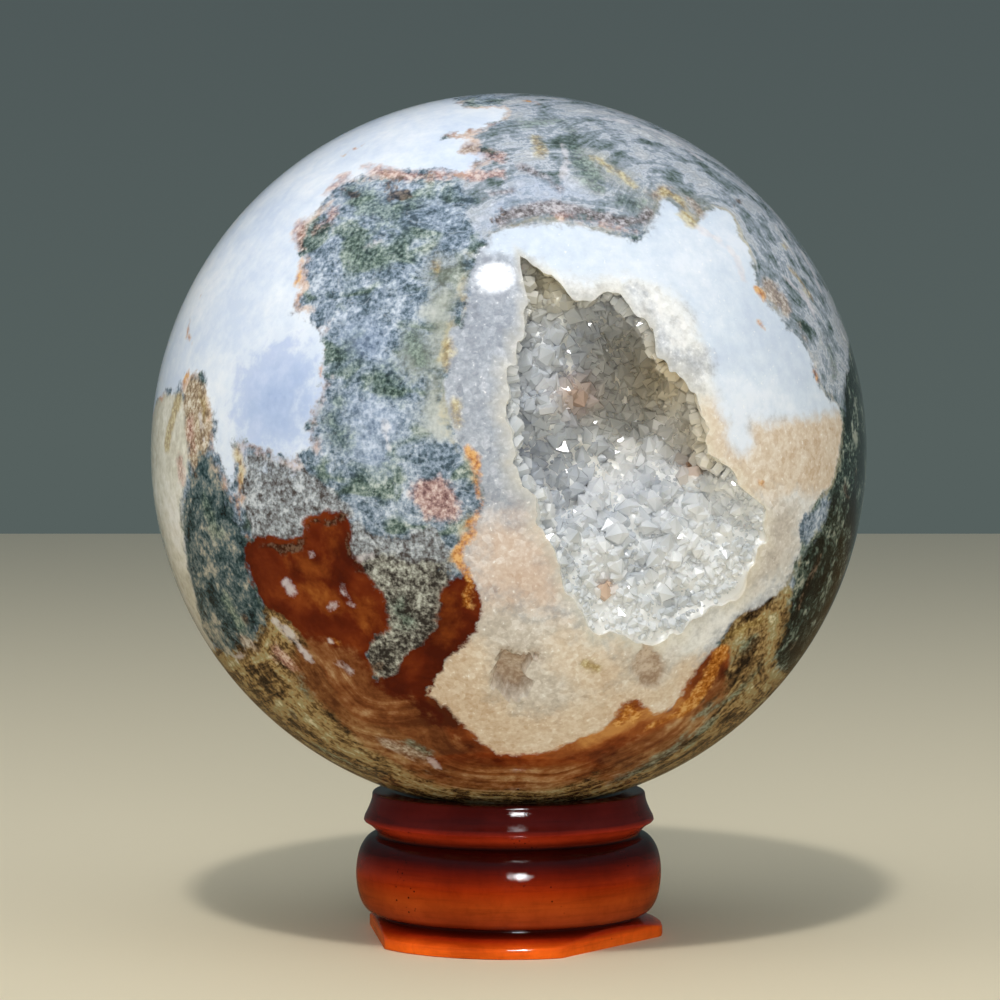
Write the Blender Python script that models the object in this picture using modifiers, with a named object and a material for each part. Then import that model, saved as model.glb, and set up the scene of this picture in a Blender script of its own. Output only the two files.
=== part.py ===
# Polished agate sphere with a crystal-lined cavity, resting in a turned wooden stand.
# Metres, +Z up. The origin is the centre of the stand's underside, and the cavity faces -Y.

import math
import random

import bmesh
import bpy
from mathutils import Matrix, Vector

# Stone
STONE_RADIUS = 0.0450
STONE_SEGMENTS = 56             # meridians, with half as many rings

# Stand, from the top down
STAND_HEIGHT = 0.0183
SEAT_OUTER_RADIUS = 0.0147      # top edge of the dished seat
SEAT_INNER_RADIUS = 0.0112      # where the seat meets the pocket
SEAT_CLEARANCE = 0.0003         # between the stone and the seat
POCKET_WALL_DRAFT = 0.0004      # the pocket narrows by this much towards its floor
FLOOR_THICKNESS = 0.0070        # wood left under the pocket
RIM_WIDTH = 0.0026              # flat rim round the seat, with its rounded edge
RIM_ROUNDING = 0.0004
COLLAR_FLARE = 0.0011           # how far the collar's lower lip stands out past the rim
COLLAR_HEIGHT = 0.0033          # from the rim down to the lip
COLLAR_HOLLOW = 1.6             # 1 is a straight cone, higher is more hollow
LIP_THICKNESS = 0.0003
NECK_CUT = 0.0017               # how far the neck is cut in from the lip
NECK_DROP = 0.0017              # from the lip down to the neck
NECK_WIDTH = 0.0004
BELLY_BULGE = 0.00265           # how far the belly stands out past the neck
BELLY_FULLNESS = 2.5            # 2 is an ellipse, higher is squarer
CREASE_CUT = 0.00215            # where the belly turns under, in from its widest
GROOVE_CUT = 0.0012             # in from the crease
GROOVE_HEIGHT = 0.0028          # centre of the groove above the table
GROOVE_WIDTH = 0.0004
FOOT_FLARE = 0.0035             # how far the foot stands out past the groove
FOOT_BAND = 0.0014              # upright band at the very bottom
FOOT_ROUNDING = 0.0002
FOOT_FLATS = ((188, 0.0027), (321, 0.0031), (75, 0.0029))   # bearing in degrees, depth of the cut
STAND_SEGMENTS = 48

# Cavity, seen from the front, with its middle measured from the stone's centre
CAVITY_X = 0.0120
CAVITY_Z = 0.0003
CAVITY_SEGMENTS = 54
CAVITY_RINGS = 12
CAVITY_FLOOR = 0.0085           # general depth below the polished surface
HOLE_DEPTH = 0.0150             # how much deeper the hole in the upper part goes
HOLE_X, HOLE_Z = 0.0025, 0.0060     # its middle, from the cavity's middle
HOLE_WIDTH, HOLE_LENGTH = 0.0062, 0.0085
SHELF_RISE = 0.0045             # crystal shelf on the upper left, above the general floor
SHELF_X, SHELF_Z = -0.0070, 0.0060
SHELF_SPREAD = 0.0045
LUMP_HEIGHT = 0.0009            # knobbly floor
LUMP_SPACING = 0.0062
UNDERCUT = 0.05                 # how far the steep walls reach behind the rim, as a share of its reach
CUTTER_RUNOUT = 0.006           # how far the cutter stands out of the stone
CUTTER_OVERLAP = 0.0001         # its rim is just clear of the polished surface

# The rim's outline: bearing from +X in degrees, reach from the cavity's middle
RIM_OUTLINE = (
    (0, 0.0106), (24, 0.0106), (41, 0.0116), (55, 0.0118), (65, 0.0126), (79, 0.0153),
    (93, 0.0180), (105, 0.0180), (111, 0.0212), (116, 0.0248), (121, 0.0192), (131, 0.0172),
    (140, 0.0155), (155, 0.0132), (175, 0.0119), (190, 0.0115), (212, 0.0104), (237, 0.0131),
    (251, 0.0166), (266, 0.0210), (282, 0.0219), (297, 0.0218), (313, 0.0218), (327, 0.0211),
    (338, 0.0194), (346, 0.0142),
)
GENTLE_BEARING = 292            # the slope that climbs gently back to the surface faces this way
GENTLE_HALF_ANGLE = 62
GENTLE_FADE = 28                # degrees over which it turns into a steep wall
STEEP_WALL = 5.0                # superellipse power of the walls elsewhere
GENTLE_WALL = 1.25

# Quartz crystals in the cavity
CRYSTAL_COUNT = 64
CRYSTAL_BAND = (0.08, 0.94)     # from near the middle of the floor, at 0, to near the rim, at 1
CRYSTAL_RADIUS = (0.0009, 0.0019)
CRYSTAL_STAND_OUT = (0.0008, 0.0021)    # how far the six-sided prism shows before the point starts
CRYSTAL_POINT = 1.15            # height of the point over the prism's radius
CRYSTAL_TAPER = 0.9             # the root's radius over the prism's
CRYSTAL_ROOT = 0.0022           # depth of the root in the stone
CRYSTAL_LEAN = 24               # degrees off the wall's own direction
CRYSTAL_SPACING = 0.0031        # between the roots, on the wall
CRYSTAL_TIP_SPACING = 0.0022
CRYSTAL_MARGIN = 0.0006         # kept below the polished surface
CRYSTAL_SEED = 7

RIM_RADIUS = SEAT_OUTER_RADIUS + RIM_WIDTH
COLLAR_RADIUS = RIM_RADIUS + COLLAR_FLARE
NECK_RADIUS = COLLAR_RADIUS - NECK_CUT
BELLY_RADIUS = NECK_RADIUS + BELLY_BULGE
CREASE_RADIUS = BELLY_RADIUS - CREASE_CUT
GROOVE_RADIUS = CREASE_RADIUS - GROOVE_CUT
FOOT_RADIUS = GROOVE_RADIUS + FOOT_FLARE
SEAT_SPHERE = STONE_RADIUS + SEAT_CLEARANCE
STONE_CENTRE = Vector((0, 0, STAND_HEIGHT + math.sqrt(SEAT_SPHERE ** 2 - SEAT_OUTER_RADIUS ** 2)))


def empty_scene():
    for obj in list(bpy.data.objects):
        bpy.data.objects.remove(obj, do_unlink=True)


def new_collection(name):
    collection = bpy.data.collections.new(name)
    bpy.context.scene.collection.children.link(collection)
    return collection


def material(name, colour, roughness, metallic=0.0):
    made = bpy.data.materials.new(name)
    made.use_nodes = True
    shader = made.node_tree.nodes["Principled BSDF"]
    shader.inputs["Base Color"].default_value = (*colour, 1.0)
    shader.inputs["Roughness"].default_value = roughness
    shader.inputs["Metallic"].default_value = metallic
    return made


def mesh_object(name, bm, collection, finish=None):
    mesh = bpy.data.meshes.new(name)
    bm.to_mesh(mesh)
    bm.free()
    obj = bpy.data.objects.new(name, mesh)
    collection.objects.link(obj)
    if finish:
        mesh.materials.append(finish)
    return obj


def hide_as_cutter(obj):
    obj.hide_render = True
    obj.display_type = "WIRE"


def boolean(obj, other, operation):
    modifier = obj.modifiers.new(operation.lower() + "_" + other.name, "BOOLEAN")
    modifier.operation = operation
    modifier.solver = "EXACT"
    modifier.object = other


def arc(centre, radii, start, end, steps):
    """Points on an ellipse's arc, angles in degrees from +X towards +Y."""
    angles = [math.radians(start + (end - start) * i / steps) for i in range(steps + 1)]
    return [(centre[0] + radii[0] * math.cos(a), centre[1] + radii[1] * math.sin(a)) for a in angles]


def periodic(outline, bearing):
    """Reach at a bearing, eased between the outline's points."""
    bearing %= 360
    last = len(outline) - 1
    for i, (low, reach) in enumerate(outline):
        high, next_reach = outline[i + 1] if i < last else (outline[0][0] + 360, outline[0][1])
        if low <= bearing < high:
            t = (bearing - low) / (high - low)
            return reach + (next_reach - reach) * t * t * (3 - 2 * t)
    return outline[0][1]


def gentleness(bearing):
    """1 on the slope that climbs back to the surface, 0 on the steep walls."""
    off = abs((bearing - GENTLE_BEARING + 180) % 360 - 180)
    t = min(1.0, max(0.0, 0.5 + (GENTLE_HALF_ANGLE - off) / GENTLE_FADE))
    return t * t * (3 - 2 * t)


def bump(x, z, centre_x, centre_z, spread_x, spread_z):
    return math.exp(-((x - centre_x) / spread_x) ** 2 - ((z - centre_z) / spread_z) ** 2)


def floor_depth(x, z):
    """Depth of the cavity's floor under the polished surface, x and z from the cavity's middle."""
    hole = HOLE_DEPTH * bump(x, z, HOLE_X, HOLE_Z, HOLE_WIDTH, HOLE_LENGTH)
    shelf = SHELF_RISE * bump(x, z, SHELF_X, SHELF_Z, SHELF_SPREAD, SHELF_SPREAD)
    turn = 2 * math.pi / LUMP_SPACING
    swayed_x = turn * x + 1.7 * math.sin(turn * z * 0.6)
    swayed_z = turn * z + 1.3 * math.sin(turn * x * 0.7)
    lumps = math.sin(swayed_x) * math.cos(swayed_z)
    return CAVITY_FLOOR + hole - shelf + LUMP_HEIGHT * lumps


def polished_front(x, z):
    """Y of the stone's front surface, from the stone's centre."""
    return -math.sqrt(STONE_RADIUS ** 2 - x * x - z * z)


def cavity_point(bearing, t):
    """A point of the cavity's wall, from the stone's centre, on a superellipse.
    t runs from 0 at the middle over the floor to 0.5 at the foot of the wall, and up it to 1 at the rim."""
    gentle = gentleness(bearing)
    power = STEEP_WALL + (GENTLE_WALL - STEEP_WALL) * gentle
    corner = 0.5 ** (1 / power)
    if t < 0.5:
        across = 2 * t * corner
        down = (1 - across ** power) ** (1 / power)
    else:
        down = 2 * (1 - t) * corner
        across = (1 - down ** power) ** (1 / power)
    across += UNDERCUT * (1 - gentle) * math.sin(math.pi * down) ** 2
    reach = periodic(RIM_OUTLINE, bearing) * across
    x = reach * math.cos(math.radians(bearing))
    z = reach * math.sin(math.radians(bearing))
    y = polished_front(CAVITY_X + x, CAVITY_Z + z) + down * floor_depth(x, z)
    return Vector((CAVITY_X + x, y, CAVITY_Z + z))


def cavity_cutter(collection):
    """A globe whose inner rings are drawn over the cavity's wall and whose last ring stands straight out."""
    rings = CAVITY_RINGS + 2
    bm = bmesh.new()
    bmesh.ops.create_uvsphere(bm, u_segments=CAVITY_SEGMENTS, v_segments=rings, radius=1.0)
    flat = -(STONE_RADIUS + CUTTER_RUNOUT)
    for vert in bm.verts:
        ring = round(math.acos(max(-1.0, min(1.0, -vert.co.z))) / math.pi * rings)
        bearing = math.degrees(math.atan2(vert.co.y, vert.co.x)) % 360
        if ring <= CAVITY_RINGS:
            vert.co = cavity_point(bearing, ring / CAVITY_RINGS)
            if ring == CAVITY_RINGS:
                vert.co.y -= CUTTER_OVERLAP
        elif ring < rings:
            vert.co = cavity_point(bearing, 1.0)
            vert.co.y = flat
        else:
            vert.co = (CAVITY_X, flat, CAVITY_Z)
    bmesh.ops.recalc_face_normals(bm, faces=bm.faces)
    cutter = mesh_object("cavity_cutter", bm, collection)
    cutter.location = STONE_CENTRE
    hide_as_cutter(cutter)
    return cutter


def wall_direction(bearing, t):
    """Unit normal of the cavity's wall, pointing into the open."""
    step = 0.5
    along = cavity_point(bearing + step, t) - cavity_point(bearing - step, t)
    down = cavity_point(bearing, t + 0.01) - cavity_point(bearing, t - 0.01)
    normal = along.cross(down).normalized()
    return normal if normal.y < 0 else -normal


def crystal_sites():
    """Places, directions and sizes of the crystals, spread by trial over the cavity's wall."""
    rng = random.Random(CRYSTAL_SEED)
    sites = []
    tries = 0
    while len(sites) < CRYSTAL_COUNT and tries < 6000:
        tries += 1
        bearing = rng.uniform(0, 360)
        t = rng.uniform(*CRYSTAL_BAND)
        place = cavity_point(bearing, t)
        radius = rng.uniform(*CRYSTAL_RADIUS)
        stand_out = rng.uniform(*CRYSTAL_STAND_OUT)
        lean = Vector([rng.uniform(-1, 1) for _ in range(3)]) * math.tan(math.radians(CRYSTAL_LEAN))
        direction = (wall_direction(bearing, t) + lean).normalized()
        spin = rng.uniform(0, 60)
        tip = place + direction * (stand_out + CRYSTAL_POINT * radius)
        too_near = any(
            (place - other[0]).length < CRYSTAL_SPACING
            or (tip - other[0] - other[1] * (other[3] + CRYSTAL_POINT * other[2])).length < CRYSTAL_TIP_SPACING
            for other in sites)
        too_proud = tip.length > STONE_RADIUS - CRYSTAL_MARGIN or place.length > STONE_RADIUS - 2 * CRYSTAL_MARGIN
        if not too_near and not too_proud:
            sites.append((place, direction, radius, stand_out, spin))
    return sites


def crystal(collection, number, place, direction, radius, stand_out, spin):
    """A six-sided quartz prism with a six-sided point, its root sunk in the stone."""
    bm = bmesh.new()
    shaft = CRYSTAL_ROOT + stand_out
    bmesh.ops.create_cone(
        bm, cap_ends=True, segments=6, radius1=radius * CRYSTAL_TAPER, radius2=radius, depth=shaft,
        matrix=Matrix.Translation((0, 0, shaft / 2 - CRYSTAL_ROOT)))
    top = max(bm.faces, key=lambda face: face.calc_center_median().z)
    bmesh.ops.poke(bm, faces=[top])
    apex = next(v for v in bm.verts if len(v.link_edges) == 6 and v.co.xy.length < radius * 0.1)
    apex.co.z = stand_out + CRYSTAL_POINT * radius
    turn = direction.to_track_quat("Z", "Y").to_matrix().to_4x4()
    bmesh.ops.transform(
        bm, verts=bm.verts,
        matrix=Matrix.Translation(STONE_CENTRE + place) @ turn @ Matrix.Rotation(math.radians(spin), 4, "Z"))
    bmesh.ops.recalc_face_normals(bm, faces=bm.faces)
    piece = mesh_object(f"crystal_{number:02d}", bm, collection)
    hide_as_cutter(piece)
    return piece


def agate_sphere(collection, cutters):
    agate = material("polished_agate", (0.52, 0.55, 0.56), 0.12)
    bpy.ops.mesh.primitive_uv_sphere_add(
        segments=STONE_SEGMENTS, ring_count=STONE_SEGMENTS // 2, radius=STONE_RADIUS, location=STONE_CENTRE)
    stone = bpy.context.active_object
    stone.name = stone.data.name = "agate_sphere"
    for linked in list(stone.users_collection):
        linked.objects.unlink(stone)
    collection.objects.link(stone)
    stone.data.materials.append(agate)
    boolean(stone, cavity_cutter(cutters), "DIFFERENCE")
    for number, site in enumerate(crystal_sites()):
        boolean(stone, crystal(cutters, number, *site), "UNION")
    return stone


def stand_profile():
    """Half section of the stand as (radius, height), down the outside and back up through the pocket."""
    lip_z = STAND_HEIGHT - COLLAR_HEIGHT
    neck_z = lip_z - NECK_DROP
    belly_top = neck_z - NECK_WIDTH
    belly_bottom = GROOVE_HEIGHT + GROOVE_WIDTH
    belly_middle = (belly_top + belly_bottom) / 2
    belly_half = (belly_top - belly_bottom) / 2
    points = arc((RIM_RADIUS - RIM_ROUNDING, STAND_HEIGHT - RIM_ROUNDING), (RIM_ROUNDING,) * 2, 90, 0, 2)
    collar_steps = 3
    for i in range(1, collar_steps + 1):    # the collar's face hollows outwards to its lip
        t = i / collar_steps
        points.append((RIM_RADIUS + COLLAR_FLARE * t ** COLLAR_HOLLOW,
                       STAND_HEIGHT - RIM_ROUNDING - (COLLAR_HEIGHT - RIM_ROUNDING) * t))
    points.append((COLLAR_RADIUS, lip_z - LIP_THICKNESS))
    points.append((NECK_RADIUS, neck_z))
    points.append((NECK_RADIUS, belly_top))
    belly_steps = 9
    for i in range(1, belly_steps):     # the belly is half a superellipse between the neck and the crease
        up = math.cos(math.pi * i / belly_steps)
        inner = NECK_RADIUS if up > 0 else CREASE_RADIUS
        bulge = (1 - abs(up) ** BELLY_FULLNESS) ** (1 / BELLY_FULLNESS)
        points.append((inner + (BELLY_RADIUS - inner) * bulge, belly_middle + belly_half * up))
    points.append((CREASE_RADIUS, belly_bottom))
    points.append((GROOVE_RADIUS, GROOVE_HEIGHT + GROOVE_WIDTH / 2))
    points.append((GROOVE_RADIUS, GROOVE_HEIGHT - GROOVE_WIDTH / 2))
    points.append((FOOT_RADIUS - FOOT_ROUNDING, FOOT_BAND))
    points.append((FOOT_RADIUS, FOOT_BAND - FOOT_ROUNDING))
    points.append((FOOT_RADIUS, FOOT_ROUNDING))
    points.append((FOOT_RADIUS - FOOT_ROUNDING, 0))
    points.append((0, 0))
    return points


def pocket_profile():
    """The inside, from the pocket's floor up over the dished seat to the rim."""
    seat_steps = 4
    points = [(0, FLOOR_THICKNESS), (SEAT_INNER_RADIUS - POCKET_WALL_DRAFT, FLOOR_THICKNESS)]
    for i in range(seat_steps + 1):
        radius = SEAT_INNER_RADIUS + (SEAT_OUTER_RADIUS - SEAT_INNER_RADIUS) * i / seat_steps
        points.append((radius, STONE_CENTRE.z - math.sqrt(SEAT_SPHERE ** 2 - radius ** 2)))
    return points


def wooden_stand(collection, cutters):
    lacquer = material("red_lacquered_wood", (0.26, 0.03, 0.012), 0.22)
    outline = pocket_profile() + stand_profile()
    bm = bmesh.new()
    verts = [bm.verts.new((radius, 0, height)) for radius, height in outline]
    for first, second in zip(verts, verts[1:]):
        bm.edges.new((first, second))
    stand = mesh_object("wooden_stand", bm, collection, lacquer)
    turned = stand.modifiers.new("turned", "SCREW")
    turned.steps = turned.render_steps = STAND_SEGMENTS
    turned.use_merge_vertices = True
    turned.merge_threshold = 0.00001
    turned.use_smooth_shade = True
    for number, (bearing, depth) in enumerate(FOOT_FLATS):
        bpy.ops.mesh.primitive_cube_add(size=1.0)
        flat = bpy.context.active_object
        flat.name = f"foot_flat_{number + 1}"
        for linked in list(flat.users_collection):
            linked.objects.unlink(flat)
        cutters.objects.link(flat)
        width = FOOT_RADIUS * 2.2
        height = GROOVE_HEIGHT * 2
        flat.data.transform(Matrix.Diagonal((width, width, height, 1)))
        outwards = Vector((math.cos(math.radians(bearing)), math.sin(math.radians(bearing)), 0))
        flat.location = outwards * (FOOT_RADIUS - depth + width / 2)
        flat.location.z = GROOVE_HEIGHT - height / 2
        flat.rotation_euler.z = math.radians(bearing)
        hide_as_cutter(flat)
        boolean(stand, flat, "DIFFERENCE")
    return stand


def main():
    empty_scene()
    parts = new_collection("agate_sphere_on_stand")
    cutters = new_collection("cutters")
    agate_sphere(parts, cutters)
    wooden_stand(parts, cutters)


main()
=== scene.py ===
# A polished moss agate sphere with a cavity of quartz crystals, on its turned and lacquered stand.

import math

import bpy
import numpy as np
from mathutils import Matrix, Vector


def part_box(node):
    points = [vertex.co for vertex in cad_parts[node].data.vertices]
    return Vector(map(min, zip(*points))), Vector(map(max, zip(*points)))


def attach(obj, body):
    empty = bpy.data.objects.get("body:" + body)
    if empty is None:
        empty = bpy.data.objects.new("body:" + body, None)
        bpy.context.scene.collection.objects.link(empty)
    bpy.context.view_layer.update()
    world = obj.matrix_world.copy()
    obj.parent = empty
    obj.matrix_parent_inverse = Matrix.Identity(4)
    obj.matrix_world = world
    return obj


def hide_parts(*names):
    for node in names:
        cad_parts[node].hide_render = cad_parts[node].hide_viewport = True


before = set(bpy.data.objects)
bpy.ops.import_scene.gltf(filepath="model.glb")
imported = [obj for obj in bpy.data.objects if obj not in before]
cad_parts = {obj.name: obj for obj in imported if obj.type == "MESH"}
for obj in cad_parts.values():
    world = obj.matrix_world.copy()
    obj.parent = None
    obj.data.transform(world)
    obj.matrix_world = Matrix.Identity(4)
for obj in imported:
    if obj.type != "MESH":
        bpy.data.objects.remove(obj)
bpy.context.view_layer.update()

mm = 0.001
stoneLow, stoneHigh = (np.array(corner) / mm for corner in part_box("agate_sphere"))
stoneCentre = (stoneLow + stoneHigh) / 2        # mm
stoneRadius = (stoneHigh[2] - stoneLow[2]) / 2
standHeight = np.array(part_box("wooden_stand"))[1, 2] / mm

# The camera as the photograph was taken, and the stone's place in its 1000 pixels
photo = {
    "cameraPlace": (-1.1, -379.8, 63.65),       # mm
    "cameraPitch": 1.295,                       # degrees down
    "lens": 108, "sensor": 36,                  # mm
    "focalPixels": 3000,
    "stonePixel": (508.8, 452.5),               # centre of the stone's silhouette
}


# Small tools

def linearColour(hexValue):
    # sRGB hex to linear light
    parts = [int(hexValue[i:i + 2], 16) / 255 for i in (1, 3, 5)]
    return tuple(c / 12.92 if c <= 0.04045 else ((c + 0.055) / 1.055) ** 2.4 for c in parts) + (1.0,)


def addNode(tree, kind, settings=None, links=None):
    # one shader node: settings are its properties or sockets, and "stops" a ramp's places and colours.
    # Links feed its sockets.
    node = tree.nodes.new("ShaderNode" + kind)
    for name, value in (settings or {}).items():
        if name == "stops":
            elements = node.color_ramp.elements
            while len(elements) < len(value):
                elements.new(0.5)
            for element, (place, hexValue) in zip(elements, value):
                element.position = place
                element.color = linearColour(hexValue)
        elif isinstance(name, str) and hasattr(node, name):
            setattr(node, name, value)
        else:
            node.inputs[name].default_value = value
    for name, source in (links or {}).items():
        tree.links.new(source, node.inputs[name])
    return node.outputs


def newMaterial(name):
    material = bpy.data.materials.new(name)
    material.use_nodes = True
    material.node_tree.nodes.clear()
    return material, material.node_tree


def ease(t):
    # smoothstep from 0 to 1
    t = np.clip(t, 0, 1)
    return t * t * (3 - 2 * t)


# Seeds of the lattice noises that shape the pieces and shift their outlines
seeds = {"rim": 40, "roughness": 50, "hollow": 60, "tint": 70, "lacquer": 80, "back": 90}


def latticeNoise(places, spacing, seed):
    # random values on a cubic lattice, eased between its corners, from -1 to 1
    size = 32
    table = np.random.default_rng(seed).uniform(-1, 1, (size, size, size))
    cells = places / spacing
    base = np.floor(cells).astype(int)
    share = ease(cells - base)
    total = np.zeros(len(places))
    for corner in np.ndindex(2, 2, 2):
        weight = np.prod(np.where(corner, share, 1 - share), axis=1)
        total += weight * table[tuple(((base + corner) % size).T)]
    return total


def unit(vectors):
    return vectors / np.linalg.norm(vectors, axis=-1, keepdims=True)


# The photograph's outlines are read on the stone "unrolled" from the side that faces the camera:
# a point lies as many mm from the middle as the arc on the stone is long, all the way round to the back.

toCamera = np.array(photo["cameraPlace"]) - stoneCentre
cameraDistance = np.linalg.norm(toCamera)
frontAxis = toCamera / cameraDistance
rightAxis = unit(np.cross((0, 0, 1), frontAxis))
upAxis = np.cross(frontAxis, rightAxis)


def unrollPlaces(places):
    # mm from the stone's centre to the unrolled plane: arc length times the direction seen by the camera
    across, above, towards = (unit(places) @ axis for axis in (rightAxis, upAxis, frontAxis))
    flat = np.maximum(np.hypot(across, above), 1e-9)
    arc = stoneRadius * np.arccos(np.clip(towards, -1, 1))
    return np.stack([across / flat * arc, above / flat * arc], axis=1)


def unrollPixels(pixels):
    # photo pixels to the same plane: sine rule on camera, stone's centre and surface point.
    # Past the silhouette one more radius of pixels goes round to the very back.
    pixels = np.array(pixels, float)
    across = pixels[:, 0] - photo["stonePixel"][0]
    above = photo["stonePixel"][1] - pixels[:, 1]
    reach = np.hypot(across, above)
    ray = np.arctan(reach / photo["focalPixels"])
    limbRay = math.asin(stoneRadius / cameraDistance)
    limbReach = photo["focalPixels"] * math.tan(limbRay)
    seen = np.arcsin(np.clip(np.sin(ray) * cameraDistance / stoneRadius, 0, 1)) - ray
    limb = math.pi / 2 - limbRay
    hidden = limb + (reach / limbReach - 1) * (math.pi - limb)
    arc = stoneRadius * np.where(reach < limbReach, seen, np.minimum(hidden, math.pi))
    return np.stack([across / reach * arc, above / reach * arc], axis=1)


def seenPixels(places):
    # photo pixels at which the camera sees places given from the stone's centre
    across, above, towards = (places @ axis for axis in (rightAxis, upAxis, frontAxis))
    scale = photo["focalPixels"] / (cameraDistance - towards)
    return np.array(photo["stonePixel"]) + np.stack([across * scale, -above * scale], axis=1)


def roundedOutline(points, parts, closed):
    # Catmull-Rom curve through the points
    count = len(points)
    index = np.arange(count if closed else count - 1)
    at = (lambda i: points[i % count]) if closed else (lambda i: points[np.clip(i, 0, count - 1)])
    before, start, end, after = at(index - 1), at(index), at(index + 1), at(index + 2)
    t = (np.arange(parts) / parts)[None, :, None]
    before, start, end, after = (p[:, None, :] for p in (before, start, end, after))
    curve = 0.5 * (2 * start + (end - before) * t + (2 * before - 5 * start + 4 * end - after) * t ** 2
                   + (3 * start - before - 3 * end + after) * t ** 3)
    curve = curve.reshape(-1, 2)
    return curve if closed else np.vstack([curve, points[-1]])


def distanceTo(places, line, closed):
    # distance from every place to a line of straight pieces, and whether it lies inside the closed line
    nearest = np.full(len(places), np.inf)
    inside = np.zeros(len(places), bool)
    ends = np.roll(line, -1, axis=0) if closed else line[1:]
    for start, end in zip(line, ends):
        along = end - start
        share = np.clip((places - start) @ along / max(along @ along, 1e-12), 0, 1)
        gap = places - start - share[:, None] * along
        nearest = np.minimum(nearest, (gap ** 2).sum(axis=1))
        if closed and start[1] != end[1]:
            crosses = (start[1] > places[:, 1]) != (end[1] > places[:, 1])
            inside ^= crosses & (places[:, 0] < start[0] + (places[:, 1] - start[1]) * along[0] / along[1])
    return np.sqrt(nearest), inside


farOutside = -30.0      # mm, the value of a field where no outline is near
outlineParts = 3        # straight pieces from one point of an outline or stroke to the next


def zoneField(places, outlines):
    # mm inside the nearest edge of any of the outlines, negative outside
    field = np.full(len(places), farOutside)
    for outline in outlines:
        away, inside = distanceTo(places, roundedOutline(unrollPixels(outline), outlineParts, True), True)
        field = np.maximum(field, np.where(inside, away, -away))
    return field


def strokeField(places, strokes):
    # mm inside the nearest stroke or spot: its half width in pixels less the distance to its middle line
    pixelsPerMm = photo["focalPixels"] / (cameraDistance - stoneRadius)
    field = np.full(len(places), farOutside)
    for halfWidth, *points in strokes:
        line = unrollPixels(points)
        if len(line) > 1:
            line = roundedOutline(line, outlineParts, False)
            away = distanceTo(places, line, False)[0]
        else:
            away = np.hypot(*(places - line[0]).T)
        field = np.maximum(field, halfWidth / pixelsPerMm - away)
    return field


def ringSurface(name, rings, firstPole, lastPole, material, fields=None):
    # a closed skin through rings of points, with a fan of triangles to a pole at either end
    rows, columns, _ = rings.shape
    points = np.vstack([firstPole, rings.reshape(-1, 3), lastPole])
    row, column = np.meshgrid(np.arange(rows - 1), np.arange(columns), indexing="ij")
    after = (column + 1) % columns
    corners = [row * columns + column, row * columns + after,
               (row + 1) * columns + after, (row + 1) * columns + column]
    quads = np.stack([corner.ravel() + 1 for corner in corners], axis=1)
    around = np.arange(columns)
    beyond = (around + 1) % columns
    last = (rows - 1) * columns + 1
    firstFan = np.stack([np.zeros(columns, int), beyond + 1, around + 1], axis=1)
    lastFan = np.stack([np.full(columns, len(points) - 1), last + around, last + beyond], axis=1)
    triangles = np.vstack([quads[:, [0, 1, 2]], quads[:, [0, 2, 3]], firstFan, lastFan])
    a, b, c = (points[triangles[:, i]] for i in range(3))
    if np.einsum("ij,ij->", a, np.cross(b, c)) < 0:     # the volume's sign says which way the faces point
        quads, firstFan, lastFan = quads[:, ::-1], firstFan[:, ::-1], lastFan[:, ::-1]
    mesh = bpy.data.meshes.new(name)
    mesh.from_pydata((points * mm).tolist(), [], quads.tolist() + firstFan.tolist() + lastFan.tolist())
    for field, values in (fields or {}).items():
        mesh.attributes.new(field, "FLOAT", "POINT").data.foreach_set("value", values.astype(np.float32))
    return finishedObject(name, mesh, material)


def finishedObject(name, mesh, material):
    mesh.materials.append(material)
    mesh.validate()
    piece = bpy.data.objects.new(name, mesh)
    bpy.context.scene.collection.objects.link(piece)
    return piece


# The cavity, as cut in the CAD stone, with finer lumps. Lengths in mm from the stone's centre.

cavity = {
    "middle": (12.0, 0.3),
    "floor": 8.5, "holeDepth": 15.0, "hole": (2.5, 6.0), "holeSpread": (6.2, 8.5),
    "shelfRise": 4.5, "shelf": (-7.0, 6.0), "shelfSpread": 4.5,
    "lumpHeight": 0.9, "lumpSpacing": 6.2, "lumpSway": ((1.7, 0.6), (1.3, 0.7)), "undercut": 0.05,
    "gentleBearing": 292, "gentleHalfAngle": 62, "gentleFade": 28, "steepWall": 5.0, "gentleWall": 1.25,
    # clusters of crystals that stand out from the wall: x, z, spread and rise
    "clusters": ((-7.0, 18.5, 4.0, 5.0), (0.5, 13.5, 2.8, -4.0),
                 (-3.2, 6.4, 2.1, 4.0), (-7.6, 4.2, 2.2, 2.6), (-6.2, 12.6, 2.8, 3.2), (-1.2, 0.6, 2.5, 2.6),
                 (-5.6, -3.2, 2.3, 1.8), (4.6, 1.2, 3.6, 6.5), (-1.0, -10.5, 3.0, 1.6),
                 (8.5, -10.0, 2.6, 1.4), (6.0, -4.5, 2.0, 1.6), (2.0, -6.2, 1.8, 1.5),
                 (7.2, 7.0, 3.4, 6.4), (0.4, 11.0, 2.6, -3.5)),
    "roughness": ((4.2, 0.9), (1.7, 0.5)),     # spacing and height of the finer lumps
    "rimJag": ((3.6, 0.7), (1.3, 0.45), (0.6, 0.22)),   # spacing and depth of the nicks along the rim
    "rim": ((0, 10.6), (24, 10.6), (41, 11.6), (55, 11.8), (65, 12.6), (79, 15.3), (93, 18.0),
            (105, 18.0), (111, 21.2), (116, 24.8), (121, 19.2), (131, 17.2), (140, 15.5), (155, 13.2),
            (175, 11.9), (190, 11.5), (212, 10.4), (237, 13.1), (251, 16.6), (266, 21.0), (282, 21.9),
            (297, 21.8), (313, 21.8), (327, 21.1), (338, 19.4), (346, 14.2)),
}


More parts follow.
